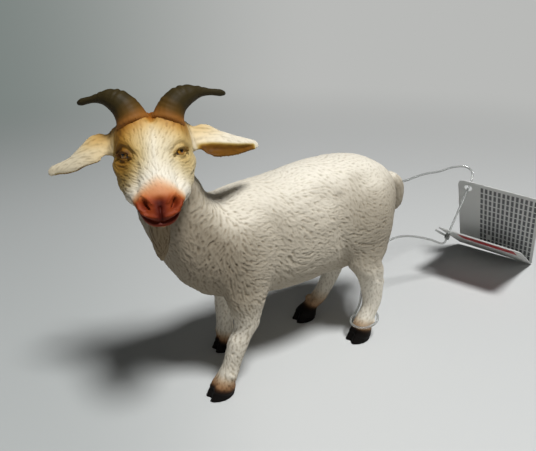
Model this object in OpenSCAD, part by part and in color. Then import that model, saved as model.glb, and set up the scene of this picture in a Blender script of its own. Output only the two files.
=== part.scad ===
// Painted plastic goat figure with a folded card hang tag on a clear filament loop.
// Millimetres. The goat faces -Y, its left side is +X, and it stands on Z = 0.

/* [Trunk] */
// Height of the back above the ground
back_h = 63.5; // [58:0.5:72]
// Height of the belly above the ground
belly_h = 24; // [20:0.5:28]
// Width of the barrel at its widest
barrel_w = 28; // [25:0.5:33]
// Length from the base of the neck to the rump
trunk_l = 62.5; // [58:0.5:78]

/* [Neck and head] */
// Width of the neck below the head
neck_w = 13.6; // [12:0.1:16]
// Thickness of the neck from crest to throat, below the head
neck_t = 13.8; // [12.5:0.1:16]
// Length of the straight part of the neck
neck_l = 10; // [8:0.5:16]
// How steeply the neck rises, in degrees from level
neck_rise = 63; // [57:1:68]
// Length of the head from the back of the skull to the nose
head_l = 30; // [28:0.5:36]
// Width of the head across the brows
head_w = 18.4; // [16.8:0.1:21]
// Depth of the head from the forehead to the jaw
head_d = 17.2; // [16:0.1:20]
// How far the head is turned to its left, in degrees
head_turn = 72; // [40:1:90]
// How far the nose points down, in degrees
head_nod = 28; // [15:1:40]

/* [Horns, ears, beard and tail] */
// Thickness of a horn at its base
horn_d = 6.6; // [5:0.1:7.4]
// Distance between the middles of the horn bases
horn_gap = 7.8; // [7.6:0.1:9]
// Reach of a horn from its base, as a share of the usual one
horn_reach = 1; // [0.8:0.05:1.3]
// Length of an ear
ear_l = 19.5; // [15:0.5:24]
// Width of an ear
ear_w = 8.4; // [6.4:0.1:9.6]
// Thickness of an ear at its middle
ear_t = 2; // [1.6:0.1:3]
// Length of the beard below the chin
beard_l = 12; // [9:0.5:15]
// Width of the beard where it leaves the chin
beard_w = 5.2; // [4:0.1:6]
// Length of the tail
tail_l = 14; // [11:0.5:17]
// Width of the tail
tail_w = 5; // [4:0.1:6.5]

/* [Legs] */
// Distance between the middles of the left and right hooves
stance_w = 19.6; // [18:0.2:22]
// Thickness of a foreleg at the knee, front to back
knee_t = 7; // [6:0.1:8.5]
// Thickness of a hind leg at the hock, front to back
hock_t = 9; // [7.5:0.1:10.5]
// Length of a hoof's sole
hoof_l = 9.6; // [8.5:0.1:11]
// Width of a hoof's sole
hoof_w = 7.2; // [6:0.1:8]
// Height of a hoof
hoof_h = 4.2; // [3.4:0.1:5]

/* [Pegs and sockets] */
// Diameter of the peg on each leg
leg_peg_d = 5; // [3:0.1:6]
// Diameter of the peg on the neck
neck_peg_d = 6; // [4:0.1:8]
// Diameter of the pegs on the horns, ears, beard and tail
small_peg_d = 1.8; // [1.4:0.1:2.2]
// Depth to which a leg's or the neck's peg goes in
peg_l = 4; // [3:0.1:5]
// Depth to which a small peg goes in
small_peg_l = 2; // [1.5:0.1:2.4]
// Glue gap between two glued faces, and around a peg
glue_gap = 0.15; // [0.1:0.01:0.2]

/* [Hang tag] */
// Width of the folded card, along its crease
card_w = 31; // [26:0.5:40]
// Height of each leaf, from the crease
card_h = 45; // [36:0.5:50]
// Thickness of the card
card_t = 0.4; // [0.3:0.05:0.5]
// Radius of the card's free corners
card_r = 3; // [1:0.5:5]
// Diameter of the hole for the filament
hole_d = 3.2; // [2.4:0.1:4]
// Distance of the hole's middle from the card's left edge
hole_x = 4; // [3:0.1:6]
// Distance of the hole's middle from the crease
hole_z = 41; // [32:0.1:41.5]

/* [Filament] */
// Diameter of the clear filament
filament_d = 0.8; // [0.6:0.05:1]
// Diameter of the knot
knot_d = 2; // [1.6:0.1:2.6]
// Length of the loose end beyond the knot
stub_l = 4; // [2:0.5:6]

/* [Hidden] */

fur = [0.93, 0.91, 0.86];
horn_brown = [0.30, 0.25, 0.18];
ear_cream = [0.90, 0.82, 0.68];
beard_grey = [0.66, 0.60, 0.53];
card_white = [0.85, 0.85, 0.85];
clear_grey = [0.62, 0.62, 0.62];

// ---------- shared functions ----------

bore_fn = 48;         // sides of a peg or socket
trunk_sides = 28;     // points round a ring of the trunk and the head
limb_sides = 16;      // points round a ring of a leg, horn, ear or tail
skin_power = 2.3;     // 2 is an ellipse, more is squarer

function mix(a, b, t) = a + (b - a) * t;
function clamp(v, lo, hi) = min(max(v, lo), hi);
function bulge(c, power) = sign(c) * pow(abs(c), 2 / power);

// A row of a table of shapes, read smoothly between its rows. Column 0 is the position.
function span_at(rows, t) =
    let (later = [for (i = [1:len(rows) - 2]) if (rows[i][0] <= t) i])
    len(later) == 0 ? 0 : later[len(later) - 1];
function slope_at(rows, i) =
    let (lo = max(i - 1, 0), hi = min(i + 1, len(rows) - 1))
    (rows[hi] - rows[lo]) / (rows[hi][0] - rows[lo][0]);
function row_at(rows, t) =
    let (i = span_at(rows, t), a = rows[i], b = rows[i + 1], w = b[0] - a[0],
         s = clamp((t - a[0]) / w, 0, 1), s2 = s * s, s3 = s2 * s)
    a * (2 * s3 - 3 * s2 + 1) + b * (3 * s2 - 2 * s3)
    + slope_at(rows, i) * w * (s3 - 2 * s2 + s) + slope_at(rows, i + 1) * w * (s3 - s2);

// A closed skin over rings of equally many points, wound so that its faces look outwards.
module loft(rings) {
    n = len(rings[0]);
    last = len(rings) - 1;
    sides = [for (i = [0:last - 1], j = [0:n - 1])
             let (a = i * n + j, b = i * n + (j + 1) % n) each [[a, b, b + n], [a, b + n, a + n]]];
    start_cap = [for (j = [n - 1:-1:0]) j];
    end_cap = [for (j = [0:n - 1]) last * n + j];
    polyhedron([for (r = rings) each r], concat([start_cap, end_cap], sides), convexity = 6);
}

// ---------- trunk and neck ----------

trunk_d = back_h - belly_h;
bend_y = -21;                        // where the trunk ends and the neck starts to rise
crest_z = back_h + 3.5;              // the line about which the neck's sections fan out

// position along the trunk, top, bottom, half width: shares of trunk_l, trunk_d and barrel_w / 2
TRUNK = [[0, 0.886, 0.11, 0.83], [0.128, 0.925, 0.047, 0.90], [0.256, 0.935, 0.01, 0.97],
         [0.384, 0.965, 0, 1], [0.496, 0.993, 0.01, 0.985], [0.616, 1, 0.035, 0.96],
         [0.736, 0.99, 0.075, 0.92], [0.816, 0.96, 0.12, 0.87], [0.88, 0.915, 0.17, 0.79],
         [0.944, 0.85, 0.27, 0.65], [0.98, 0.79, 0.38, 0.45], [1, 0.7, 0.5, 0.22]];
// position up the neck, share of the chest left in the throat line and in the width
FAN = [[0, 1, 1], [0.25, 0.74, 0.8], [0.5, 0.38, 0.55], [0.75, 0.12, 0.28], [1, 0, 0]];
// position along the straight neck, crest below the fan's line, thickness and width shares,
// and share of neck_side
NECK = [[0, 5.4, 1.32, 1.18, 0], [0.5, 6.4, 1.11, 1.06, 0.3], [0.85, 7, 1, 1, 0.78], [1, 7.7, 0.88, 0.88, 1]];

function trunk_y(t) = bend_y + t * trunk_l;
// top, bottom and half width of the section at a place along the trunk, measured down from crest_z
function trunk_section(t) =
    let (r = row_at(TRUNK, t))
    [crest_z - belly_h - r[1] * trunk_d, crest_z - belly_h - r[2] * trunk_d, r[3] * barrel_w / 2];
function neck_section(m) =
    let (r = row_at(NECK, m))
    [r[1], r[1] + r[2] * neck_t, r[3] * neck_w / 2];
function fan_section(t) =
    let (r = row_at(FAN, t), low = trunk_section(0), high = neck_section(0))
    [mix(low[0], high[0], t), mix(high[1], low[1], r[1]), mix(high[2], low[2], r[2])];

// direction from the fan's line to the throat, and direction up the neck, when turned by an angle
function throat_dir(angle) = [0, -sin(angle), -cos(angle)];
function rise_dir(angle) = [0, -cos(angle), sin(angle)];

function skin_ring(origin, down, s) =
    let (mid = (s[0] + s[1]) / 2, half = (s[1] - s[0]) / 2)
    [for (j = [0:trunk_sides - 1])
     let (a = 360 * j / trunk_sides)
     origin + down * (mid + half * bulge(sin(a), skin_power)) + [s[2] * bulge(cos(a), skin_power), 0, 0]];

trunk_rings = [for (t = [1, 0.985, 0.96, 0.92, 0.87, 0.8, 0.72, 0.63, 0.54, 0.45, 0.36, 0.27, 0.18, 0.09])
               skin_ring([0, trunk_y(t), crest_z], [0, 0, -1], trunk_section(t))];
fan_steps = 6;
fan_rings = [for (i = [0:fan_steps]) let (t = i / fan_steps, a = t * neck_rise)
             skin_ring([0, bend_y, crest_z], throat_dir(a), fan_section(t))];
neck_steps = 5;
neck_side = 3.2;                     // how far the neck has bent to the left at its top
function neck_origin(m) =
    [row_at(NECK, m)[4] * neck_side, bend_y, crest_z] + rise_dir(neck_rise) * m * neck_l;
neck_rings = [for (i = [1:neck_steps]) let (m = i / neck_steps)
              skin_ring(neck_origin(m), throat_dir(neck_rise), neck_section(m))];

// half width of the trunk at a point of its side, and 0 where there is no trunk
function half_width(s, down) =
    let (mid = (s[0] + s[1]) / 2, half = (s[1] - s[0]) / 2, r = abs(down - mid) / half)
    r >= 1 ? 0 : s[2] * pow(1 - pow(r, skin_power), 1 / skin_power);
function skin_x(y, z) =
    y >= bend_y ? half_width(trunk_section(min((y - bend_y) / trunk_l, 1)), crest_z - z)
    : let (a = atan2(bend_y - y, crest_z - z))
      half_width(fan_section(min(a / neck_rise, 1)), norm([bend_y - y, crest_z - z]));

// the middle of the neck's flat top
neck_mid = (neck_section(1)[0] + neck_section(1)[1]) / 2;
neck_top = neck_origin(1) + throat_dir(neck_rise) * neck_mid;

// a frame at a point, its Z along a direction
module facing(point, dir) {
    h = norm([dir[0], dir[1]]);
    translate(point) rotate([0, atan2(h, dir[2]), atan2(dir[1], dir[0])]) children();
}

module peg(point, dir, d, length) {
    facing(point, dir) translate([0, 0, -length]) cylinder(h = length + 1, d = d, $fn = bore_fn);
}

module socket(point, dir, d, length) {
    facing(point, dir) translate([0, 0, -length - glue_gap])
        cylinder(h = length + glue_gap + 1, d = d + 2 * glue_gap, $fn = bore_fn);
}

// a flat round seat sunk into a curved skin, looking along a direction
seat_reach = 14;
module seat(point, dir, d) {
    facing(point, dir) translate([0, 0, -glue_gap])
        cylinder(h = seat_reach, d = d + 2 * glue_gap, $fn = bore_fn);
}

// ---------- legs ----------

leg_top = 0.87;          // top of the shoulder, as a share of back_h
peg_share = 0.68;        // height of a leg's peg, as a share of back_h
edge_t = 0.5;            // thickness of a leg's edge where it runs out on the trunk
knee_size = knee_t / 2;
hock_size = hock_t / 2;

fore_shoulder_y = bend_y + 3.8;
left_fore_hoof_y = -26.9;
right_fore_hoof_y = -15.4;
hip_y = bend_y + trunk_l - 14.5;
left_hock_y = hip_y + 3;
right_hock_y = hip_y + 2.4;
left_hind_hoof_y = 25.7;
right_hind_hoof_y = 16.8;

// share of back_h, lean from shoulder to hoof, half thickness and half width in knees,
// share of the trunk's skin in the place of the outer face, and how far it stands proud of the skin
FORE = [[0.105, 0.69, 0.94, 0.86, 0, 0], [0.16, 0.54, 0.84, 0.78, 0, 0], [0.24, 0.36, 1, 0.94, 0, 0],
        [0.32, 0.18, 1.1, 0.92, 0, 0], [0.42, 0, 1.45, 1.08, 0, 0], [0.5, 0, 1.95, 1.2, 0, 0],
        [0.58, 0, 2.35, 1.4, 0.5, 1.6], [0.68, 0, 2.45, 1.5, 1, 1.6], [0.78, 0, 2.1, 1.5, 1, 1.1],
        [leg_top, 0, 1.3, 1.4, 1, 0.7]];
HIND = [[0.095, 0.58, 0.82, 0.68, 0, 0], [0.145, 0.36, 0.76, 0.64, 0, 0], [0.225, 0.11, 0.86, 0.68, 0, 0],
        [0.305, 0, 1, 0.74, 0, 0], [0.37, 0, 1.05, 0.8, 0, 0], [0.435, 0, 1.25, 0.92, 0, 0],
        [0.52, 0, 1.8, 1.1, 0.35, 1], [0.61, 0, 2.1, 1.2, 0.9, 1.7], [0.71, 0, 2.05, 1.2, 1, 1.6],
        [0.81, 0, 1.75, 1.2, 1, 1.2], [leg_top + 0.03, 0, 1.15, 1.2, 1, 0.7]];

// one level ring of a leg on the goat's left side, its inner face lying on the trunk
function leg_ring(y, z, half_y, half_x, skin_share, proud) =
    let (inner = z > belly_h ? glue_gap : 0,
         out = mix(stance_w / 2 + half_x, skin_x(y, z) + proud, skin_share), mid = out - half_x)
    [for (j = [0:limb_sides - 1])
     let (a = 360 * j / limb_sides, py = y - half_y * sin(a), px = mid + half_x * cos(a),
          skin = skin_x(py, z), rim = skin > 0 ? skin + inner : 0,
          outer = cos(a) > -0.01 ? edge_t * (0.3 + 0.7 * cos(a)) : 0)
     [max(px, rim + outer), py, z]];

// a hoof's rings, from the sole up: share of hoof_h, share of its length and width, shift to the heel
HOOF = [[0, 1, 1, 0], [0.5, 0.93, 0.97, 0.06], [1, 0.78, 0.88, 0.14]];
function hoof_rings(y) =
    [for (r = HOOF)
     leg_ring(y + r[3] * hoof_l, r[0] * hoof_h, r[1] * hoof_l / 2, r[2] * hoof_w / 2, 0, 0)];

function leg_y(row, top_y, bend, hoof_y) =
    row[0] > 0.3 ? mix(bend, top_y, clamp((row[0] - 0.3) / 0.25, 0, 1)) : mix(bend, hoof_y, row[1]);

leg_steps = 3;           // rings between two rows of a leg's table
function leg_rings(rows, size, top_y, bend, hoof_y) =
    concat(hoof_rings(hoof_y),
           [for (i = [0:len(rows) - 2], k = [0:leg_steps - 1])
            let (t = mix(rows[i][0], rows[i + 1][0], k / leg_steps), r = row_at(rows, t))
            leg_ring(leg_y(r, top_y, bend, hoof_y), t * back_h, r[2] * size, r[3] * size, r[4], r[5])],
           [let (r = rows[len(rows) - 1])
            leg_ring(top_y, r[0] * back_h, r[2] * size, r[3] * size, r[4], r[5])]);

function leg_peg_at(y) = [skin_x(y, peg_share * back_h) + glue_gap, y, peg_share * back_h];

module leg(rows, size, top_y, bend, hoof_y) {
    color(fur) union() {
        loft([for (r = leg_rings(rows, size, top_y, bend, hoof_y)) r]);
        peg(leg_peg_at(top_y), [1, 0, 0], leg_peg_d, peg_l);
    }
}

module left_foreleg() {
    leg(FORE, knee_size, fore_shoulder_y, fore_shoulder_y, left_fore_hoof_y);
}

module right_foreleg() {
    mirror([1, 0, 0]) leg(FORE, knee_size, fore_shoulder_y + 3, fore_shoulder_y + 3, right_fore_hoof_y);
}

module left_hind_leg() {
    leg(HIND, hock_size, hip_y, left_hock_y, left_hind_hoof_y);
}

module right_hind_leg() {
    mirror([1, 0, 0]) leg(HIND, hock_size, hip_y, right_hock_y, right_hind_hoof_y);
}

// ---------- tail ----------

tail_root = [0, trunk_y(0.98), crest_z - trunk_section(0.98)[0] - 4];
tail_out = [0, 0.97, 0.24];      // the way the tail leaves the rump
tail_down = [0, 0.06, -1];
tail_seat_d = tail_w * 0.86;

// position, how far the tail has bent down, half width and half thickness in shares of tail_w
TAIL = [[0, 0, 0.42, 0.42], [0.2, 0.35, 0.46, 0.42], [0.45, 0.8, 0.5, 0.4], [0.75, 1, 0.44, 0.34],
        [0.93, 1, 0.3, 0.24], [1, 1, 0.12, 0.1]];
tail_steps = 9;
function tail_dir(t) = let (v = mix(tail_out, tail_down, row_at(TAIL, t)[1])) v / norm(v);
function tail_point(i) =
    i == 0 ? tail_root : tail_point(i - 1) + tail_dir((i - 0.5) / tail_steps) * tail_l / tail_steps;

module tail() {
    color(fur) union() {
        loft([for (i = [0:tail_steps])
              let (t = i / tail_steps, d = tail_dir(t), up = [0, -d[2], d[1]], r = row_at(TAIL, t))
              [for (j = [0:limb_sides - 1])
               let (a = 360 * j / limb_sides)
               tail_point(i) + [cos(a) * r[2] * tail_w, 0, 0] + up * sin(a) * r[3] * tail_w]]);
        peg(tail_root, tail_dir(0), small_peg_d, small_peg_l);
    }
}

module torso() {
    color(fur) difference() {
        union() {
            loft(concat(trunk_rings, fan_rings, neck_rings));
            peg(neck_top, -rise_dir(neck_rise), neck_peg_d, peg_l);
        }
        for (y = [fore_shoulder_y, hip_y])
            socket(leg_peg_at(y), [1, 0, 0], leg_peg_d, peg_l);
        for (y = [fore_shoulder_y + 3, hip_y])
            mirror([1, 0, 0]) socket(leg_peg_at(y), [1, 0, 0], leg_peg_d, peg_l);
        seat(tail_root, tail_dir(0), tail_seat_d);
        socket(tail_root, tail_dir(0), small_peg_d, small_peg_l);
    }
}

// ---------- head ----------

neck_joint = [0.4, 2, -7.4];     // the neck's top in the head's own frame, from the middle of the eyes

// the head's own frame: nose along -Y, left along +X, origin midway between the eyes
function spin_x(a, v) = [v[0], cos(a) * v[1] - sin(a) * v[2], sin(a) * v[1] + cos(a) * v[2]];
function spin_z(a, v) = [cos(a) * v[0] - sin(a) * v[1], sin(a) * v[0] + cos(a) * v[1], v[2]];
function head_dir(v) = spin_z(head_turn, spin_x(head_nod, v));
// the same without the nod: what grows level or upright on a nodding head
function level_dir(v) = spin_z(head_turn, v);
head_at = neck_top + rise_dir(neck_rise) * glue_gap - head_dir(neck_joint);
function head_point(v) = head_at + head_dir(v);

// position from the eyes back to front, top, bottom and half width: shares of the head's sizes
HEAD = [[-0.385, 0.03, -0.06, 0.055], [-0.37, 0.14, -0.19, 0.21], [-0.333, 0.245, -0.35, 0.33],
        [-0.25, 0.35, -0.52, 0.42], [-0.133, 0.384, -0.616, 0.475], [0, 0.326, -0.616, 0.5],
        [0.117, 0.25, -0.56, 0.445], [0.217, 0.19, -0.49, 0.375], [0.317, 0.157, -0.436, 0.31],
        [0.417, 0.134, -0.407, 0.277], [0.5, 0.087, -0.39, 0.27], [0.567, 0.012, -0.35, 0.217],
        [0.6, -0.07, -0.256, 0.12], [0.61, -0.13, -0.18, 0.05]];
HEAD_STEPS = [-0.385, -0.378, -0.365, -0.34, -0.3, -0.25, -0.19, -0.13, -0.07, -0.01, 0.05, 0.11, 0.17,
              0.23, 0.29, 0.35, 0.41, 0.46, 0.5, 0.54, 0.57, 0.592, 0.605, 0.61];
face_power = 2.2;
function head_ring(t) =
    let (r = row_at(HEAD, t), mid = (r[1] + r[2]) / 2 * head_d, half = (r[1] - r[2]) / 2 * head_d)
    [for (j = [0:trunk_sides - 1])
     let (a = -360 * j / trunk_sides)
     head_point([r[3] * head_w * bulge(cos(a), face_power), -t * head_l,
                 mid + half * bulge(sin(a), face_power)])];

neck_seat_d = 2 * norm([neck_w / 2, neck_t / 2]) * 0.82;
neck_plug_reach = 22;

// ---------- horns ----------

horn_root_level = [horn_gap / 2, 3.4, 7.2];     // seat of the left horn, level frame
horn_out = [0.30, 0.48, 0.82];                  // the way a horn leaves the skull, level frame
// position, sideways, back and up from the root, and thickness as a share of horn_d
HORN = [[0, 0, 0, 0, 1], [0.14, 0.7, 0.6, 2, 1], [0.3, 2, 1.2, 4, 0.93], [0.47, 4.1, 2.1, 5.4, 0.8],
        [0.64, 6.8, 3.2, 5.9, 0.6], [0.82, 9.7, 4.3, 5.6, 0.42], [0.96, 12.2, 5.3, 5.1, 0.31],
        [1, 12.8, 5.6, 4.9, 0.16]];
horn_steps = 16;

function side(v, s) = [v[0] * s, v[1], v[2]];
function horn_root(s) = head_at + level_dir(side(horn_root_level, s));
function horn_point(t, s) =
    let (r = row_at(HORN, t))
    horn_root(s) + level_dir(side([r[1], r[2], r[3]] * horn_reach, s));
function horn_dir(t, s) =
    t < 0.08 ? level_dir(side(horn_out, s)) / norm(horn_out)
    : let (v = horn_point(min(t + 0.02, 1), s) - horn_point(max(t - 0.04, 0), s)) v / norm(v);

// a round ring across a direction, kept from twisting by a fixed sideways hint
function round_ring(at, dir, hint, rx, rz) =
    let (u = cross(dir, hint), v = u / norm(u), w = cross(v, dir))
    [for (j = [0:limb_sides - 1])
     let (a = 360 * j / limb_sides) at + w * cos(a) * rx - v * sin(a) * rz];

module horn(s) {
    hint = level_dir([0, 0.5, -1]);
    color(horn_brown) union() {
        loft([for (i = [0:horn_steps])
              let (t = i / horn_steps, r = row_at(HORN, t)[4] * horn_d / 2)
              round_ring(horn_point(t, s), horn_dir(t, s), hint, r, r)]);
        peg(horn_root(s), horn_dir(0, s), small_peg_d, small_peg_l);
    }
}

module left_horn() {
    horn(1);
}

module right_horn() {
    horn(-1);
}

// ---------- ears ----------

ear_root_head = [0.41 * head_w, 5.3, 0.2];      // seat of the left ear, head's own frame
ear_seat_d = 3.4;
left_ear_dir = [1, 0.25, -0.16];                 // the way each ear points, level frame
right_ear_dir = [1, 0.25, -0.36];
// position, half width, half thickness in shares of ear_w and ear_t, and droop in shares of ear_l
EAR = [[0, 0, 0, 0], [0.1, 0.3, 0.3, 0], [0.28, 0.86, 0.8, 0.03], [0.48, 1, 0.9, 0.02],
       [0.68, 0.78, 0.85, -0.03], [0.88, 0.42, 0.7, -0.09], [0.97, 0.28, 0.55, -0.12],
       [1, 0.12, 0.25, -0.13]];
ear_steps = 12;

function ear_root(s) = head_at + head_dir(side(ear_root_head, s));
function ear_way(dir, s) = let (v = level_dir(side(dir, s))) v / norm(v);

module ear(dir, s) {
    way = ear_way(dir, s);
    down = level_dir([0, -0.66, 0.75]) / norm([0.66, 0.75]);
    across = cross(down, way) / norm(cross(down, way));
    root_r = ear_seat_d / 2;
    color(ear_cream) union() {
        loft([for (i = [0:ear_steps])
              let (t = i / ear_steps, r = row_at(EAR, t), blend = min(t / 0.28, 1),
                   wide = mix(root_r, ear_w / 2 * r[1], blend), thick = mix(root_r, ear_t / 2 * r[2], blend))
              round_ring(ear_root(s) + way * t * ear_l + down * r[3] * ear_l * blend, way, down,
                         thick, wide)]);
        peg(ear_root(s), way, small_peg_d, small_peg_l);
    }
}

module left_ear() {
    ear(left_ear_dir, 1);
}

module right_ear() {
    ear(right_ear_dir, -1);
}

// ---------- beard ----------

beard_root = head_point([-0.4, -0.38 * head_l, -0.46 * head_d]);
beard_dir = level_dir([0, 0.10, -1]) / norm([0.1, 1]);
BEARD = [[0, 0.5, 0.42], [0.3, 0.47, 0.4], [0.65, 0.34, 0.28], [0.9, 0.18, 0.15], [1, 0.06, 0.06]];
beard_steps = 7;

module beard() {
    color(beard_grey) union() {
        loft([for (i = [0:beard_steps])
              let (t = i / beard_steps, r = row_at(BEARD, t))
              round_ring(beard_root + beard_dir * t * beard_l, beard_dir, level_dir([0, 1, 0]),
                         r[2] * beard_w, r[1] * beard_w)]);
        peg(beard_root, beard_dir, small_peg_d, small_peg_l);
    }
}

module head() {
    color(fur) difference() {
        loft([for (t = HEAD_STEPS) head_ring(t)]);
        facing(neck_top, -rise_dir(neck_rise)) translate([0, 0, -glue_gap])
            cylinder(h = neck_plug_reach, d = neck_seat_d + 2 * glue_gap, $fn = bore_fn);
        socket(neck_top, -rise_dir(neck_rise), neck_peg_d, peg_l);
        for (s = [1, -1]) {
            seat(horn_root(s), horn_dir(0, s), horn_d);
            socket(horn_root(s), horn_dir(0, s), small_peg_d, small_peg_l);
        }
        seat(ear_root(1), ear_way(left_ear_dir, 1), ear_seat_d);
        socket(ear_root(1), ear_way(left_ear_dir, 1), small_peg_d, small_peg_l);
        seat(ear_root(-1), ear_way(right_ear_dir, -1), ear_seat_d);
        socket(ear_root(-1), ear_way(right_ear_dir, -1), small_peg_d, small_peg_l);
        seat(beard_root, beard_dir, beard_w);
        socket(beard_root, beard_dir, small_peg_d, small_peg_l);
    }
}

// ---------- hang tag ----------

card_at = [-6.1, 117, 1.15];     // the middle of the crease
card_turn = 22;                  // the crease's turn from the X axis
card_tilt = 3;                   // how far the crease's left end is lifted
back_lean = 33;                  // the back leaf's lean towards the goat, from upright
cover_slope = 30;                // the cover leaf's slope above level
crease_gap = 0.2;                // bare distance from the crease's line to each leaf

// a leaf standing on the crease's line, its inner face through that line
module leaf() {
    translate([0, 0, crease_gap]) rotate([90, 0, 0]) translate([0, 0, -card_t])
        linear_extrude(card_t) difference() {
            hull() {
                translate([-card_w / 2, 0]) square([card_w, 1]);
                for (s = [-1, 1])
                    translate([s * (card_w / 2 - card_r), card_h - crease_gap - card_r])
                        circle(card_r, $fn = bore_fn);
            }
            translate([hole_x - card_w / 2, hole_z - crease_gap]) circle(d = hole_d, $fn = bore_fn);
        }
}

module tag_back_leaf() {
    color(card_white) translate(card_at) rotate([back_lean, card_tilt, card_turn]) leaf();
}

module tag_cover_leaf() {
    color(card_white) translate(card_at) rotate([90 - cover_slope, card_tilt, card_turn])
        mirror([0, 1, 0]) leaf();
}

// ---------- filament loop ----------

// The loop's route, from one face of the knot to the other: through both leaves' holes and back
// over to the rump, down between the hind legs, once round the left hind pastern, and out again.
LOOP_ROUTE = [
    [-2.2, 79.4, 21.3], [-2.5, 80.2, 22.15], [-3.5, 83.3, 25.7], [-5, 87.6, 30.5], [-6.7, 92.7, 36.1],
    [-7.5, 94.9, 38.6], [-9.2, 96.8, 41.2], [-12.2, 96, 42.8], [-14.8, 91.6, 42.6], [-15.2, 84.8, 42],
    [-13.6, 74.4, 43.2], [-10.6, 64, 44.2], [-7.6, 54.6, 45], [-5.9, 49.4, 43.6], [-5, 46.6, 39],
    [-4.2, 44.4, 33], [-2.6, 40.6, 27.6], [-0.4, 36.8, 23.4], [2, 33.6, 19], [4, 31.2, 14.4],
    [5.2, 29.6, 10.4], [5.8, 27.6, 7.8], [6.8, 25, 6.9], [8.6, 23.4, 6.5], [11, 23.3, 6.4],
    [13, 24.9, 6.5], [13.9, 27.6, 6.8], [13.4, 30.4, 7.3], [11.6, 32.3, 7.9], [9.1, 32.9, 8.7],
    [6.9, 32.7, 10.6], [5.2, 33.4, 14.2], [3.2, 36, 19], [1, 40, 23.4], [-1, 45.4, 26.6],
    [-2.2, 52, 26.8], [-2.4, 60, 25], [-2, 69.2, 21.4], [-1.35, 74.6, 18.7], [-1.25, 76.87, 18.61],
    [-1.6, 77.8, 19.6]];

filament_sides = 8;
rings_per_span = 2;
function unit(v) = v / norm(v);
loop_last = len(LOOP_ROUTE) - 1;

// a point of the smooth curve through the route's points
function loop_point(t) =
    let (i = min(floor(t), loop_last - 1), s = t - i,
         a = LOOP_ROUTE[max(i - 1, 0)], b = LOOP_ROUTE[i],
         c = LOOP_ROUTE[i + 1], d = LOOP_ROUTE[min(i + 2, loop_last)])
    b + (c - a) * s / 2 + (2 * a - 5 * b + 4 * c - d) * s * s / 2 + (3 * b - a - 3 * c + d) * s * s * s / 2;
loop_tip = 0.01;
function loop_dir(t) =
    unit(loop_point(min(t + loop_tip, loop_last)) - loop_point(max(t - loop_tip, 0)));

// the filament's rings, each turned as little as possible from the one before
loop_rings = loop_last * rings_per_span;
loop_normals = [for (i = 0, n = unit(cross(loop_dir(0), [0, 0, 1])); i <= loop_rings;
                     i = i + 1, n = let (d = loop_dir(min(i, loop_rings) / rings_per_span))
                                    unit(n - (n * d) * d)) n];

module tag_loop() {
    color(clear_grey)
        loft([for (i = [0:loop_rings])
              let (t = i / rings_per_span, d = loop_dir(t), n = loop_normals[i], b = cross(d, n))
              [for (j = [0:filament_sides - 1])
               let (a = 360 * j / filament_sides)
               loop_point(t) + (n * cos(a) - b * sin(a)) * filament_d / 2]]);
}

// the knot between the loop's two ends, and the loose end of the filament that leaves it
knot_axis = LOOP_ROUTE[0] - LOOP_ROUTE[loop_last];
knot_round = 0.2;            // rounding of the knot's ends, as a share of its diameter
stub_dir = [-0.8, -0.5, 0.3];

module loop_knot() {
    half_d = knot_d / 2;
    soft = knot_round * knot_d;
    color(clear_grey) union() {
        facing(LOOP_ROUTE[loop_last], knot_axis)
            rotate_extrude($fn = bore_fn)
                polygon([[0, 0], [half_d - soft, 0], [half_d, soft], [half_d, norm(knot_axis) - soft],
                         [half_d - soft, norm(knot_axis)], [0, norm(knot_axis)]]);
        facing((LOOP_ROUTE[0] + LOOP_ROUTE[loop_last]) / 2, stub_dir)
            cylinder(h = half_d + stub_l, d = filament_d, $fn = bore_fn);
    }
}

// ---------- the whole ----------

// the middle of the goat's outline on the ground, which the whole is moved to the origin by
outline_mid = [4.35, -6.6];
module placed() {
    translate([-outline_mid[0], -outline_mid[1], 0]) children();
}

placed() torso();
placed() head();
placed() left_horn();
placed() right_horn();
placed() left_ear();
placed() right_ear();
placed() beard();
placed() tail();
placed() left_foreleg();
placed() right_foreleg();
placed() left_hind_leg();
placed() right_hind_leg();
placed() tag_back_leaf();
placed() tag_cover_leaf();
placed() tag_loop();
placed() loop_knot();
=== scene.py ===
# %% [markdown]
# # A painted plastic goat with a hang tag on a clear filament
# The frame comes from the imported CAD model. Its nodes give every piece its place and its size, and
# the pieces made here stand for them one by one.

# %% The frame
import math
import bmesh
import bpy
import numpy as np
from mathutils import Matrix, Vector
from mathutils.bvhtree import BVHTree
from mathutils.kdtree import KDTree


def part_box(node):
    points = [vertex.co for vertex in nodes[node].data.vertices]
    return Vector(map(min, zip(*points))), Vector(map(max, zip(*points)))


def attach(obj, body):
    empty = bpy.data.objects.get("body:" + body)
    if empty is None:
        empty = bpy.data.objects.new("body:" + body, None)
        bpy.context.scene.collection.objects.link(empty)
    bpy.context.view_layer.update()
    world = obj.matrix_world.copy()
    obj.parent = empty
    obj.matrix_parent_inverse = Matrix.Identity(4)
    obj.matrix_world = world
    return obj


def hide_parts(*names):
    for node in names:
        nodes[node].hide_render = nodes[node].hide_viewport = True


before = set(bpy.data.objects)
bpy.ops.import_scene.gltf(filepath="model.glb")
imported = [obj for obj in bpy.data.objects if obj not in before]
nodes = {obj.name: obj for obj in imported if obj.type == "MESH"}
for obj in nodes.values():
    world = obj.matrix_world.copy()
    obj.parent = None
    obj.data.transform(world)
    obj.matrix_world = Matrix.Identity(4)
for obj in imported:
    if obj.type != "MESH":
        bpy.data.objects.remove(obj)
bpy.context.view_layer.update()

scene = bpy.context.scene
MM = 0.001

# %% [markdown]
# ## The camera
# It stands in front of the goat's left shoulder, about 20 cm away and a little above the horns, and
# looks down 25 degrees. A 37 mm lens this near gives the strong perspective of a close-up, with the
# head large and the rump small.

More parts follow.
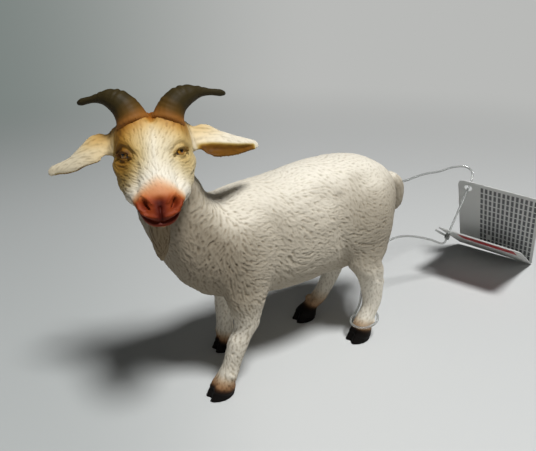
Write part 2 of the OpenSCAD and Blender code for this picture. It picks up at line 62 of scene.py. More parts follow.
# %% Camera
look = Vector((-0.7737, 0.4721, -0.4226)).normalized()
right = look.cross(Vector((0, 0, 1))).normalized()
camera = bpy.data.objects.new("camera", bpy.data.cameras.new("camera"))
camera.data.lens, camera.data.sensor_width, camera.data.clip_start = 36.94, 36, 0.005
camera.matrix_world = Matrix((right, right.cross(look), -look)).transposed().to_4x4()
camera.location = (0.12135, -0.0743, 0.1146)
scene.collection.objects.link(camera)
scene.camera = camera
print("camera", tuple(round(x, 3) for x in camera.location))

# %% [markdown]
# ## Helpers for materials
# Colours are written as they look on a screen, so one function turns them to the linear values that
# a shader wants. A second one adds any node with its settings and its links.

# %% Material helpers
def colour(code):
    """A screen colour such as "#E4E5E3" as linear red, green, blue and alpha."""
    def linear(c):
        return c / 12.92 if c <= 0.04045 else ((c + 0.055) / 1.055) ** 2.4
    return tuple(linear(int(code[i:i + 2], 16) / 255) for i in (1, 3, 5)) + (1,)


def material(name, **settings):
    """A material and its Principled shader, with the shader's inputs set by name."""
    m = bpy.data.materials.new(name)
    m.use_nodes = True
    shader = m.node_tree.nodes["Principled BSDF"]
    for key, value in settings.items():
        shader.inputs[key.replace("_", " ")].default_value = value
    return m, shader


def add(tree, kind, settings=(), **links):
    """Adds a node. Settings are the node's own; links are socket=value or socket=another node's output."""
    node = tree.nodes.new(kind)
    for key, value in dict(settings).items():
        setattr(node, key, value)
    for key, value in links.items():
        if key[0] == "i" and key[1:].isdigit():
            socket = node.inputs[int(key[1:])]
        else:
            socket = node.inputs[key.replace("_", " ")]
        if isinstance(value, bpy.types.NodeSocket):
            tree.links.new(value, socket)
        else:
            socket.default_value = value
    return node

# %% [markdown]
# ## The filament loop
# The tag hangs on a loop of clear nylon filament 0.8 mm thick. It leaves the knot, goes through both
# holes of the tag, over to the rump, down between the hind legs, once round the left hind pastern
# and back to the knot. A curve with a round bevel is the natural way to make a cord. It follows the
# same route as the CAD tube: a Catmull-Rom curve through 41 points, so it bends without kinks.

# %% Filament route
LOOP_ROUTE = [
    (-2.2, 79.4, 21.3), (-2.5, 80.2, 22.15), (-3.5, 83.3, 25.7), (-5, 87.6, 30.5), (-6.7, 92.7, 36.1),
    (-7.5, 94.9, 38.6), (-9.2, 96.8, 41.2), (-12.2, 96, 42.8), (-14.8, 91.6, 42.6), (-15.2, 84.8, 42),
    (-13.6, 74.4, 43.2), (-10.6, 64, 44.2), (-7.6, 54.6, 45), (-5.9, 49.4, 43.6), (-5, 46.6, 39),
    (-4.2, 44.4, 33), (-2.6, 40.6, 27.6), (-0.4, 36.8, 23.4), (2, 33.6, 19), (4, 31.2, 14.4),
    (5.2, 29.6, 10.4), (5.8, 27.6, 7.8), (6.8, 25, 6.9), (8.6, 23.4, 6.5), (11, 23.3, 6.4),
    (13, 24.9, 6.5), (13.9, 27.6, 6.8), (13.4, 30.4, 7.3), (11.6, 32.3, 7.9), (9.1, 32.9, 8.7),
    (6.9, 32.7, 10.6), (5.2, 33.4, 14.2), (3.2, 36, 19), (1, 40, 23.4), (-1, 45.4, 26.6),
    (-2.2, 52, 26.8), (-2.4, 60, 25), (-2, 69.2, 21.4), (-1.35, 74.6, 18.7), (-1.25, 76.87, 18.61),
    (-1.6, 77.8, 19.6)]
MIDDLE = np.array([4.35, -6.6, 0])          # the middle of the goat's outline, which is the frame's origin
route = (np.array(LOOP_ROUTE) - MIDDLE) * MM


def smooth_line(points, steps):
    """Catmull-Rom curve through the points, with its end points doubled."""
    p = np.vstack([points[:1], points, points[-1:]])
    s = (np.arange(steps) / steps)[:, None]
    spans = [b + (c - a) * s / 2 + (2 * a - 5 * b + 4 * c - d) * s**2 / 2 + (3 * b - a - 3 * c + d) * s**3 / 2
             for a, b, c, d in zip(p, p[1:], p[2:], p[3:])]
    return np.vstack(spans + [points[-1:]])


def rod(name, points, thickness):
    """A curve with a round section through the points."""
    data = bpy.data.curves.new(name, "CURVE")
    data.dimensions, data.use_fill_caps = "3D", True
    data.bevel_depth, data.bevel_resolution = thickness / 2, 3
    spline = data.splines.new("POLY")
    spline.points.add(len(points) - 1)
    spline.points.foreach_set("co", np.hstack([points, np.ones((len(points), 1))]).ravel())
    obj = bpy.data.objects.new(name, data)
    scene.collection.objects.link(obj)
    return obj


loop_line = smooth_line(route, 8)
THREAD = 0.8 * MM
loop = rod("filament_loop", loop_line, THREAD)

# %% [markdown]
# ## The moulded body
# The real figure is moulded in PVC: trunk, legs, ears, tail and beard run into each other without a
# seam, under one coat of locks. Modelling each part alone would leave creases where they meet. So
# the parts' shapes are first cast into one skin of small even faces (a voxel remesh), the skin is
# sculpted as a whole, and only then cut back into one closed piece for each part.

# %% The parts to cast
SKIN_NODES = ["torso", "head", "left_ear", "right_ear", "beard", "tail",
              "left_foreleg", "right_foreleg", "left_hind_leg", "right_hind_leg"]
SKIN_STEP = 0.25 * MM


def turn(axis, degrees):
    return np.array(Matrix.Rotation(math.radians(degrees), 3, axis))


HEAD_AT = np.array([8.06, -39.88, 75.39]) - MIDDLE    # midway between the eyes
LEVEL = turn("Z", 72)                                 # the head is turned to the goat's left
HEAD = LEVEL @ turn("X", 28)                          # and nods: nose towards -Y, left towards +X, poll towards +Z
print("casting", len(SKIN_NODES), "parts, voxels", round(SKIN_STEP / MM, 2), "mm, head at", HEAD_AT.round(2).tolist())

# %% [markdown]
# ## Tools for the cast
# A remesh modifier makes the even faces. The sculpting that follows is done on plain arrays of
# points, because moving half a million points one by one in Python would take minutes: one helper
# reads the points, one averages each point with its neighbours (a sculptor's smoothing brush), and
# one measures how far each point is from the CAD parts.

# %% Casting a skin
def cast(names, step, title):
    """One skin of even faces round the CAD parts named."""
    bm = bmesh.new()
    for name in names:
        bm.from_mesh(nodes[name].data)
    bmesh.ops.remove_doubles(bm, verts=bm.verts, dist=1e-7)
    mesh = bpy.data.meshes.new(title)
    bm.to_mesh(mesh)
    bm.free()
    obj = bpy.data.objects.new(title, mesh)
    scene.collection.objects.link(obj)
    remesh = obj.modifiers.new("cast", "REMESH")
    remesh.mode, remesh.voxel_size, remesh.adaptivity = "VOXEL", step, 0
    skin = bpy.data.meshes.new_from_object(obj.evaluated_get(bpy.context.evaluated_depsgraph_get()))
    bpy.data.objects.remove(obj)
    return skin


def points_of(mesh):
    co = np.empty(len(mesh.vertices) * 3, np.float32)
    mesh.vertices.foreach_get("co", co)
    return co.reshape(-1, 3).astype(float) / MM


def edges_of(mesh):
    e = np.empty(len(mesh.edges) * 2, int)
    mesh.edges.foreach_get("vertices", e)
    return e.reshape(-1, 2)


print("cast and reading helpers are ready")

# %% Smoothing and measuring
def averaged(values, edges, times, share=1.0):
    """Values spread to their neighbours, a number of times; share may differ from point to point."""
    n = len(values)
    count = np.bincount(edges.ravel(), minlength=n)[:, None]
    v = values.reshape(n, -1).astype(float)
    share = np.broadcast_to(np.asarray(share, float).reshape(-1, 1), (n, 1))
    for _ in range(times):
        total = np.stack([np.bincount(edges[:, 0], v[edges[:, 1], k], n) +
                          np.bincount(edges[:, 1], v[edges[:, 0], k], n) for k in range(v.shape[1])], 1)
        v = v + share * (total / np.maximum(count, 1) - v)
    return v.reshape(values.shape)


def near(points, names, reach=4.0):
    """Distance in mm from each point to each CAD part, as far as it is under reach."""
    out = np.full((len(points), len(names)), reach)
    for k, name in enumerate(names):
        bm = bmesh.new()
        bm.from_mesh(nodes[name].data)
        tree = BVHTree.FromBMesh(bm)
        bm.free()
        low, high = (np.array(c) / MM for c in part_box(name))
        for i in np.where(((points > low - reach) & (points < high + reach)).all(1))[0]:
            hit = tree.find_nearest(Vector(points[i]) * MM, reach * MM)
            if hit[3] is not None:
                out[i, k] = min(reach, hit[3] / MM)
    return out


print("smoothing and measuring helpers are ready")

# %% [markdown]
# ## One skin
# The face needs finer faces than the trunk, so its faces are divided once more. The sharp valleys
# where parts meet are then smoothed, because a mould's maker fills them, and most of all at the nape,
# where the neck runs into the back of the head.

# %% One skin
skin = cast(SKIN_NODES, SKIN_STEP, "skin")
bm = bmesh.new()
bm.from_mesh(skin)
cloud = points_of(skin)
marked = near(cloud, ["head", "left_ear", "right_ear", "beard"], 1).min(1) < 0.6
marked &= ((cloud - HEAD_AT) @ HEAD)[:, 1] < 2.5      # the face itself, in front of the ears
bm.verts.ensure_lookup_table()
fine = [e for e in bm.edges if marked[e.verts[0].index] and marked[e.verts[1].index]]
bmesh.ops.subdivide_edges(bm, edges=fine, cuts=1, use_grid_fill=True)
bm.to_mesh(skin)
bm.free()
P = points_of(skin)
E = edges_of(skin)
gap = near(P, SKIN_NODES)
order = np.sort(gap, 1)
JOIN_WIDE, NAPE_WIDE = 3.2, 7                         # how far the smoothing reaches, both sides together
join = np.clip(1 - (order[:, 0] + order[:, 1]) / JOIN_WIDE, 0, 1)
part = gap.argmin(1)
P = averaged(P, E, 4, 0.5)
P = averaged(P, E, 90, join * 0.9)
to_nape = gap[:, SKIN_NODES.index("head")] + gap[:, SKIN_NODES.index("torso")]
behind_eyes = np.clip((((P - HEAD_AT) @ HEAD)[:, 1] + 1) / 5, 0, 1)
P = averaged(P, E, 140, np.clip(1 - to_nape / NAPE_WIDE, 0, 1) * behind_eyes * 0.9)
print("skin", len(P), "points", {n: int((part == k).sum()) for k, n in enumerate(SKIN_NODES)})

# %% [markdown]
# ## Sculpting tools
# A sculptor adds clay in rolls and cuts it with a wire. Here a stroke does both: it is a line of
# points with a width, and it raises the skin (or cuts it, when negative) along that line. A height
# map could do the same, but strokes stay readable and can be moved one by one. A stroke is given in
# the frame of its own part, so the face's strokes turn with the head.

# %% Strokes
def normals_of(points, mesh):
    mesh.vertices.foreach_set("co", (points * MM).astype(np.float32).ravel())
    mesh.update()
    n = np.empty(len(points) * 3, np.float32)
    mesh.vertex_normals.foreach_get("vector", n)
    return n.reshape(-1, 3).astype(float)


def distance_to_line(points, line):
    """Distance from each point to a line of points, and how far along the line the nearest place is (0 to 1)."""
    line = np.atleast_2d(np.asarray(line, float))
    if len(line) == 1:
        return np.linalg.norm(points - line[0], axis=1), np.zeros(len(points))
    best, along = np.full(len(points), 1e9), np.zeros(len(points))
    for i, (a, b) in enumerate(zip(line, line[1:])):
        ab = b - a
        t = np.clip((points - a) @ ab / max(ab @ ab, 1e-12), 0, 1)
        d = np.linalg.norm(points - a - t[:, None] * ab, axis=1)
        closer = d < best
        best[closer], along[closer] = d[closer], (i + t[closer]) / (len(line) - 1)
    return best, along


def stroke(points, line, width, height=1.0, taper=0.0):
    """A soft-edged ridge (or cut) along the line; taper thins it towards both ends."""
    d, t = distance_to_line(points, line)
    w = width * (1 - taper * np.abs(2 * t - 1) ** 2)
    return height * np.exp(-2.2 * (d / w) ** 2) * (1 - 0.6 * taper * np.abs(2 * t - 1) ** 2)


def step(value, low, high):
    t = np.clip((value - low) / (high - low), 0, 1)
    return t * t * (3 - 2 * t)


def in_head(points):
    return (points - HEAD_AT) @ HEAD


def both(line):
    """A stroke's line and its mirror image on the other side of the face."""
    line = np.atleast_2d(np.asarray(line, float))
    return line, line * [-1, 1, 1]


is_part = {name: part == k for k, name in enumerate(SKIN_NODES)}
print("stroke helpers are ready,", len(is_part), "parts marked on the skin")

# %% The head's surface
face = np.where(near(P, ["head"], 2)[:, 0] < 1.5)[0]
F = in_head(P[face])
chin = step(-F[:, 1], 9, 14.5)
F[:, 0] *= 1 - 0.24 * chin * step(-F[:, 2], -0.2, 4.0)              # the muzzle narrows towards the mouth
F[:, 2] += 1.7 * chin * step(-F[:, 2], 2.0, 5.5)                    # and the lower lip is thin
P[face] = F @ HEAD.T + HEAD_AT
seat = KDTree(len(F))
for i, p in enumerate(F):
    seat.insert(p, i)
seat.balance()


def on_face(line):
    """The line's points moved on to the head's surface."""
    return np.array([seat.find(p)[0] for p in np.atleast_2d(line)])


print("head from", F.min(0).round(1), "to", F.max(0).round(1))
for name, p in (("brow", (0, 0, 6)), ("nose", (0, -15, 3)), ("cheek", (8, -4, -1)), ("muzzle side", (5, -13, -2))):
    print(name, on_face(p).round(2).tolist())

# %% [markdown]
# ## The face
# A goat's face is a wedge: a straight bridge between deep-set eyes, hollow cheeks, a soft square
# muzzle with comma-shaped nostrils, and a mouth that turns up at the corners. The strokes follow
# that order, from the large forms down to the lids and creases, as a sculptor would work. The eyes
# come first, because every other form is judged by its distance from them.

# %% Eye sockets
EYES = {1: np.array([6.3, -1.7, 3.0]), -1: np.array([-7.1, -1.3, 2.7])}     # the goat's left and right eye
EYE_OUT = {1: (0.66, -0.42, 0.62), -1: (-0.74, -0.4, 0.54)}                 # which way each looks
EYE_X = np.array([0.76, 0.56, -0.32])                                       # from the inner corner to the outer one


def eye_frame(s):
    """Centre on the skin, and the eye's outer, upper and outward ways, for side s."""
    at = on_face(EYES[s])[0]
    out = np.array(EYE_OUT[s])
    out /= np.linalg.norm(out)
    x = EYE_X * [s, 1, 1]
    x = x - out * (x @ out)
    x /= np.linalg.norm(x)
    y = np.cross(out, x) * s
    return at, x, y, out


def lid(s, top, reach, drop=0.0):
    """An arch of points over the eye (under it, when top is negative), reach mm to each side."""
    at, x, y, out = eye_frame(s)
    a = np.linspace(-1, 1, 9)
    return on_face([at + x * (reach * t) + y * (top * (1 - t * t) + drop) for t in a])


raise_by = np.zeros(len(F))
for s in (1, -1):
    at, x, y, out = eye_frame(s)
    brow = [at - x * 3.4 + y * 1.9, at - x * 1.4 + y * 2.7, at + x * 1.2 + y * 2.7, at + x * 3.4 + y * 1.2]
    raise_by += stroke(F, [at - x * 1.0 - y * 0.1, at + x * 1.2 - y * 0.1], 2.0, -1.1)      # socket
    raise_by += stroke(F, [at - x * 2.6 - y * 0.6, at - x * 1.6 - y * 0.2], 0.7, -0.4)      # tear pit
    raise_by += stroke(F, on_face(brow), 2.4, 0.8, 0.5)
    raise_by += stroke(F, lid(s, 0.8 + 0.08 * s, 2.2), 0.8, 1.1, 0.3)                       # upper lid
    raise_by += stroke(F, lid(s, -0.92, 2.1), 0.62, 0.75, 0.4)                              # lower lid
    raise_by += stroke(F, lid(s, 1.0, 2.6, 0.9), 0.5, -0.2, 0.5)                            # crease over it
    for drop, cut, reach in ((-1.3, -0.2, 2.7), (-2.3, -0.1, 2.0), (-2.9, -0.1, 2.5)):      # wrinkles under it
        raise_by += stroke(F, lid(s, -0.6, reach, drop), 0.38, cut, 0.6)
        raise_by += stroke(F, lid(s, -0.6, reach, drop - 0.5), 0.5, -cut * 0.4, 0.6)
print("eyes", eye_frame(1)[0].round(2).tolist())

# %% [markdown]
# ## Muzzle, nostrils and mouth
# Each form of the face is one row of a table: its line, its width, its height and its taper. The
# rows are written for the goat's left side and mirrored, as the two sides of a face are alike.

# %% Muzzle, nostrils and mouth
NOSTRIL = [(3.6, -14.3, 1.5), (3.5, -14.9, 0.9), (3.0, -15.4, 0.5), (2.3, -15.8, 0.2)]
MOUTH = [(0, -18.2, -1.9), (1.6, -17.8, -1.85), (3.0, -16.9, -1.6), (4.1, -15.6, -1.35), (4.8, -13.8, -1.5),
         (5.2, -12.0, -2.0), (5.5, -10.4, -2.4)]
FORMS = [  # line on the left side, width, height, taper; each is mirrored
    ([(0, -2, 4.8), (0, -7, 3.4), (0, -12.4, 2.4)], 2.9, 0.45, 0),           # bridge of the nose
    ([(3.8, -5, 2.4), (4.2, -8, 1.0), (4.4, -10.6, 0.4)], 1.7, -0.5, 0.4),   # hollow beside it
    ([(7.6, -4.6, -0.6), (8.6, -1, -1.6), (8.8, 2.4, -2)], 2.2, 0.5, 0.5),   # cheekbone
    ([(7.2, -4.8, -3.8), (6.6, -8.6, -3.2)], 3.8, 1.0, 0),                   # side of the jaw
    ([(5.4, -9.6, -1.6), (5.2, -12.6, -2.4)], 3.4, 0.75, 0),                 # full lower cheek
    ([(4.2, 6.4, 4.8)], 4.4, 0.9, 0),                                        # boss under the horn
    ([(7.6, 4.6, 1.6), (7.8, 5.6, -1.6)], 2.4, 0.7, 0),                      # root of the ear
    ([(0, 9.4, 5.6), (0, 4.4, 6.6)], 1.7, -1.2, 0.3),                        # dip between the horns
    ([(3.4, -13.6, 1.4)], 2.6, 0.65, 0),                                     # wing of the nose
    ([(0, -14.6, 1.6), (0, -16.2, 0.8)], 1.1, -0.28, 0),                     # dip between the wings
    (NOSTRIL, 0.5, -0.9, 0.5),                                               # comma of the nostril
    ([(3.4, -14.7, 1.1)], 0.9, -0.7, 0),                                     # the hole itself
    ([(4.3, -13.6, 1.7), (4.5, -14.4, 0.8), (4.0, -15.3, 0.1), (3.2, -15.9, -0.3)], 0.6, 0.5, 0.4),     # its rim
    ([(4.75, -13.9, 0.6), (4.5, -15.0, 0.0), (3.7, -15.9, -0.5), (2.7, -16.4, -0.7)], 0.6, 0.5, 0.4),
    ([(3.6, -13.0, 1.8), (2.5, -14.1, 1.75), (1.6, -15.2, 1.1)], 0.7, 0.35, 0.4),
    ([(0, -16.0, 0.9), (0, -17.3, -0.5), (0, -18.0, -1.6)], 0.4, -0.45, 0),  # groove of the upper lip
    ([(0.9, -17.2, -0.8), (2.3, -16.8, -0.8), (3.6, -15.9, -0.9)], 0.8, 0.35, 0.3),
    (MOUTH, 0.5, -0.85, 0),
    ([(0, -17.6, -2.9), (1.6, -17.3, -2.8), (3.0, -16.4, -2.7), (4.0, -15.2, -2.7)], 0.6, 0.25, 0.3),
    ([(5.6, -13.6, -0.2), (5.9, -11.8, -0.9)], 1.3, 0.35, 0.4),              # fold over the mouth's corner
    ([(0, -14.5, -6.4), (0, -17.0, -4.6)], 1.6, 0.3, 0),                     # chin
]
for line, width, height, taper in FORMS:
    sides = both(line) if np.abs(np.atleast_2d(line)[:, 0]).max() > 0.01 else both(line)[:1]
    field = np.max([np.abs(stroke(F, on_face(side), width, height, taper)) for side in sides], 0)
    raise_by += np.sign(height) * field
HORN_SEAT = (3.9, 3.4, 7.2)                           # root of the left horn, from midway between the eyes
for s in (1, -1):                                     # the skull runs up round each horn
    root = LEVEL @ (np.array(HORN_SEAT) * [s, 1, 1]) + HEAD_AT
    axis = LEVEL @ (np.array([0.35 * s, 0.3, 1.0]) / 1.1)
    away = np.linalg.norm((P - root) - ((P - root) @ axis)[:, None] * axis, axis=1)
    beside = is_part["head"] & (np.abs((P - root) @ axis) < 6)
    P += axis * (beside * 1.4 * np.exp(-(away / 4.3) ** 4))[:, None]
fade = 1 - step(F[:, 1], 8, 11)
P[face] += normals_of(P, skin)[face] * (raise_by * fade)[:, None]
P[face] = averaged(P, E, 2, 0.4)[face]
print("face strokes", len(FORMS), "deepest", round(float(raise_by.min()), 2), "mm")

# %% [markdown]
# ## The ears
# An ear is a leaf with a rolled edge over an ochre hollow. The cast gives a plain leaf, so two tables
# of half widths, one for the upper edge and one for the lower, pull it to the real outline. That is
# easier to correct than a new mesh, and the root stays grown to the head.

# %% Ears
EARS = {"left_ear": (1, (1, 0.25, -0.16)), "right_ear": (-1, (1, 0.25, -0.36))}
EAR_LONG, EAR_WIDE = 19.5, 8.4
EAR_ROOT = np.array([7.544, 5.3, 0.2])                       # on the left of the head
ear_face = LEVEL @ np.array([0, -0.66, 0.75])
EAR_AT = [0, 0.1, 0.2, 0.28, 0.48, 0.68, 0.88, 1]            # places along the ear
EAR_CAD = [0.4, 0.5, 0.7, 0.86, 1, 0.78, 0.42, 0.12]         # half width of the cast ear there
EAR_OUTLINE = {  # the half widths wanted there: upper edge, lower edge
    "left_ear": ([1.5, 1.4, 1.12, 0.97, 0.48, 0.32, 0.28, 0.18], [1.3, 1.4, 1.35, 1.3, 1.3, 1.0, 0.5, 0.16]),
    "right_ear": ([1.2, 1.25, 1.15, 1.0, 0.72, 0.46, 0.3, 0.16], [1.4, 1.3, 1.0, 0.85, 0.7, 0.52, 0.34, 0.16])}
EAR_BEND = {"left_ear": (0.0, 0.8), "right_ear": (1.2, -0.1)}     # how far its outer half hangs and its tip reaches
ear_axes = {}
move = np.zeros(len(P))
for name, (s, way) in EARS.items():
    root = HEAD_AT + HEAD @ (EAR_ROOT * [s, 1, 1])
    way = LEVEL @ (np.array(way) * [s, 1, 1])
    way /= np.linalg.norm(way)
    across = np.cross(ear_face, way)
    across /= np.linalg.norm(across)
    across = across if across[2] < 0 else -across     # towards the ear's lower edge
    out = ear_face if name == "left_ear" else -ear_face
    t = (P - root) @ way / EAR_LONG
    v = (P - root) @ across / (EAR_WIDE / 2)
    side = (normals_of(P, skin) @ out) > -0.15
    ear_axes[name] = (root, way, across, t, v, side)
    upper, lower = (np.interp(t, EAR_AT, edge) for edge in EAR_OUTLINE[name])
    wanted = upper + (lower - upper) * step(v, -0.25, 0.25)
    spread = v * (wanted / np.interp(t, EAR_AT, EAR_CAD) - 1) * EAR_WIDE / 2
    near_root = is_part["head"] * np.exp(-(np.linalg.norm(P - root, axis=1) / 5.5) ** 2)
    P += across * (is_part[name] * spread + near_root * 1.5 * np.tanh(spread / 1.5))[:, None] 
    hang, reach = EAR_BEND[name]
    P += across * (is_part[name] * hang * np.exp(-((t - 0.66) / 0.22) ** 2))[:, None] + \
        way * (is_part[name] * reach * step(t, 0.3, 1))[:, None]
    inside = is_part[name] * step(t, 0.12, 0.28) * (1 - step(t, 0.82, 0.97)) * side
    q = (P - root) @ across / (EAR_WIDE / 2) / wanted
    move += inside * (-0.75 * np.exp(-((q - 0.68) / 0.24) ** 2) + 0.25 * np.exp(-((q - 0.34) / 0.14) ** 2)
                      + 0.25 * np.exp(-((q - 0.95) / 0.12) ** 2))
P += normals_of(P, skin) * move[:, None]
roots = sum(is_part[n] * (1 - step(a[3], 0.1, 0.35)) +
            is_part["head"] * np.exp(-(np.linalg.norm(P - a[0], axis=1) / 5) ** 4) for n, a in ear_axes.items())
P = averaged(P, E, 24, np.clip(roots, 0, 1) * 0.7)
print("ears", [round(float(m.sum())) for m in (move < -0.3, move > 0.1)], "points cut and raised")

# %% [markdown]
# ## Hooves and legs
# A goat's hoof is cloven, with two dewclaws behind the pastern. The cleft is made by drawing the
# points between the claws back along the foot, because the sole has to stay flat on the ground. The
# same loop marks where the black and the brown paint will go.

# %% Hooves and legs
HOOVES = {"left_foreleg": (9.8, -26.9), "right_foreleg": (-9.8, -15.4),
          "left_hind_leg": (9.8, 25.7), "right_hind_leg": (-9.8, 16.8)}
PAINT_RISE = {"left_hind_leg": (1.4, 9.5), "right_hind_leg": (2.6, 13.0),      # black above the hoof's edge, and
              "left_foreleg": (0.0, 8.2), "right_foreleg": (0.0, 8.2)}         # the height where brown ends, in mm
move = np.zeros(len(P))
soot = np.zeros(len(P))
pastern = np.zeros(len(P))
soften = np.clip(1 - np.abs(P[:, 2] - 5) / 3, 0, 1) * (P[:, 2] > 1.2)
P = averaged(P, E, 25, soften)                        # the foot runs into the leg without an edge
is_leg = sum(is_part[n] * 1 for n in HOOVES) > 0
limb = is_leg * np.clip(1.6 - np.abs(P[:, 2] - 20) / 10, 0, 1)
P = averaged(P, E, 110, limb * 0.85)                  # and the leg's own bends are rounded
for name, (x, y) in HOOVES.items():
    at = np.array([x, y, 0]) - MIDDLE
    q = P - at
    low = is_part[name] & (P[:, 2] < 16)
    cleft = np.exp(-(q[:, 0] / 0.95) ** 2) * (1 - step(P[:, 2], 3.6, 7.0))
    ahead, behind = np.maximum(-q[:, 1], 0), np.maximum(q[:, 1], 0)
    P[:, 1] += low * cleft * (0.36 * ahead - 0.15 * behind)
    edge = 1.9 - 0.32 * q[:, 1]                       # the horn of the toe is higher in front
    move += low * (-0.22 * np.exp(-((P[:, 2] - edge) / 0.3) ** 2)
                   - 0.3 * (1 - step(P[:, 2], edge - 0.5, edge + 0.1)))
    for s in (1, -1):
        claw = np.array([1.75 * s, 3.1, 7.0])
        move += low * 1.1 * np.exp(-(np.linalg.norm((q - claw) / [1.0, 1.3, 1.3], axis=1)) ** 4)
        hollow = np.exp(-((q[:, 0] - 2.6 * s) ** 2 + (q[:, 1] - 0.8) ** 2) / 2.2)     # between bone and tendon
        move += is_part[name] * -0.25 * hollow * step(P[:, 2], 8, 11) * (1 - step(P[:, 2], 18, 24))
    dark, brown = PAINT_RISE[name]
    soot = np.maximum(soot, low * (1 - step(P[:, 2], edge + dark - 0.4, edge + dark + 2.2)))
    pastern = np.maximum(pastern, is_part[name] * (1 - step(P[:, 2] + 0.25 * q[:, 1], 2.8, brown)))
P = averaged(P, E, 14, (soot > 0.05) * 0.6)
sole = 1 - step(P[:, 2], 0.2, 0.8)
N = normals_of(P, skin)
P += N * (move * (1 - sole * (N[:, 2] < -0.5)))[:, None]
P[:, 2] = np.maximum(P[:, 2], 0)
print("hooves", int((soot > 0.5).sum()), "dark points")

# %% [markdown]
# ## The trunk
# The shoulder blade, the thigh and the hollow flank show through the coat. They are rows of the same
# kind as those of the face, in the goat's own frame. The thigh's front edge is drawn forward as a
# whole, since a raised roll there would look like a lump.

# %% Trunk
TRUNK = [  # line on the left side of the trunk, width, height, taper
    ([(12.5, -10, 58), (13.5, -8, 46), (12.5, -9, 34)], 3.4, -0.7, 0.4),     # behind the shoulder
    ([(11, -17, 60), (13.5, -19, 50), (13, -21, 42)], 5.0, 0.6, 0.4),        # shoulder
    ([(12, 13, 56), (13.5, 12.5, 45), (12, 16, 35), (9, 19, 28)], 3.0, -0.8, 0.4),   # in front of the thigh
    ([(12, 8, 56)], 6.5, -0.9, 0),                                           # hollow of the flank
    ([(8, 20, 61)], 3.6, 0.5, 0),                                            # hip
    ([(11, 26, 52), (12, 24, 40)], 5.5, 0.6, 0.4),                           # thigh
    ([(7, -30, 58), (5, -38, 46), (3, -40, 38)], 3.0, -0.5, 0.4),            # side of the breast
    ([(6.5, 35, 21), (12, 34.6, 21)], 2.0, 1.1, 0),                          # point of the hock
    ([(7, 33.5, 29.5), (12, 33, 29)], 3.0, -1.3, 0),                         # hollow above it
    ([(13.5, 28, 30), (13, 29.5, 24)], 1.6, -0.5, 0.3),                      # tendon on the outside
    ([(12.8, -16, 35), (9, -13.5, 33)], 1.6, 0.9, 0.3),                      # elbow
    ([(6, -24, 14.6), (13, -23, 14.4)], 0.7, -0.2, 0),                       # crease under the knee
]
field = np.zeros(len(P))
where = np.where((is_part["torso"] | is_leg) & (P[:, 2] > 11))[0]
for line, width, height, taper in TRUNK:
    for side in both(line):
        field[where] += stroke(P[where] + MIDDLE, side, width, height, taper)
hind = is_part["left_hind_leg"] | is_part["right_hind_leg"]
thigh = averaged(hind * np.exp(-((P[:, 2] - 31) / 5.5) ** 2) * step(-N[:, 1], -0.3, 0.6), E, 50, 0.7)
P[:, 1] += is_part["left_hind_leg"] * 1.2 * np.exp(-((P[:, 2] - 13) / 5) ** 2) - 2.6 * thigh    # the thigh's front edge
tail_round = is_part["tail"] * step(-(P[:, 2] - 58), 0, 5) * 0.9
along = P[:, 1] + MIDDLE[1]
belly = is_part["torso"] * step(-N[:, 2], 0, 0.8) * step(along, -16, -7) * (1 - step(along, 13, 21))
belly = averaged(belly, E, 60, 0.7)
P += N * (field + tail_round - 1.3 * belly)[:, None]
P = averaged(P, E, 16, join * 0.8)
print("trunk strokes", len(TRUNK))

# %% [markdown]
# ## The coat
# The moulded coat is thousands of small overlapping locks. Each lock is a crescent stamped into the
# skin: it rises from its root to its tip, then stops, so the next one shows from under it. The locks
# lie along a flow: down the neck and legs, back and down over the trunk, back over the face. Where
# no lock covers the skin a groove stays, and the grey laid in it is partly the painter's thin grey
# paint and partly painted shade. Hair particles would give soft fur and a bump map a smooth outline,
# so the locks are raised in the skin itself.

# %% Locks of hair
rng = np.random.default_rng(7)
tree = KDTree(len(P))
for i, p in enumerate(P):
    tree.insert(p, i)
tree.balance()
N = normals_of(P, skin)


def waves(points, scale, seed):
    """A slow, smooth wander between -1 and 1, made of a few sines in odd directions."""
    r = np.random.default_rng(seed)
    out = np.zeros(len(points))
    for _ in range(5):
        k = r.normal(size=3)
        way = k / np.linalg.norm(k)
        out += np.sin(points @ way * (2 * math.pi / scale) * r.uniform(0.7, 1.4) + r.uniform(0, 6.3))
    return out / 2.6


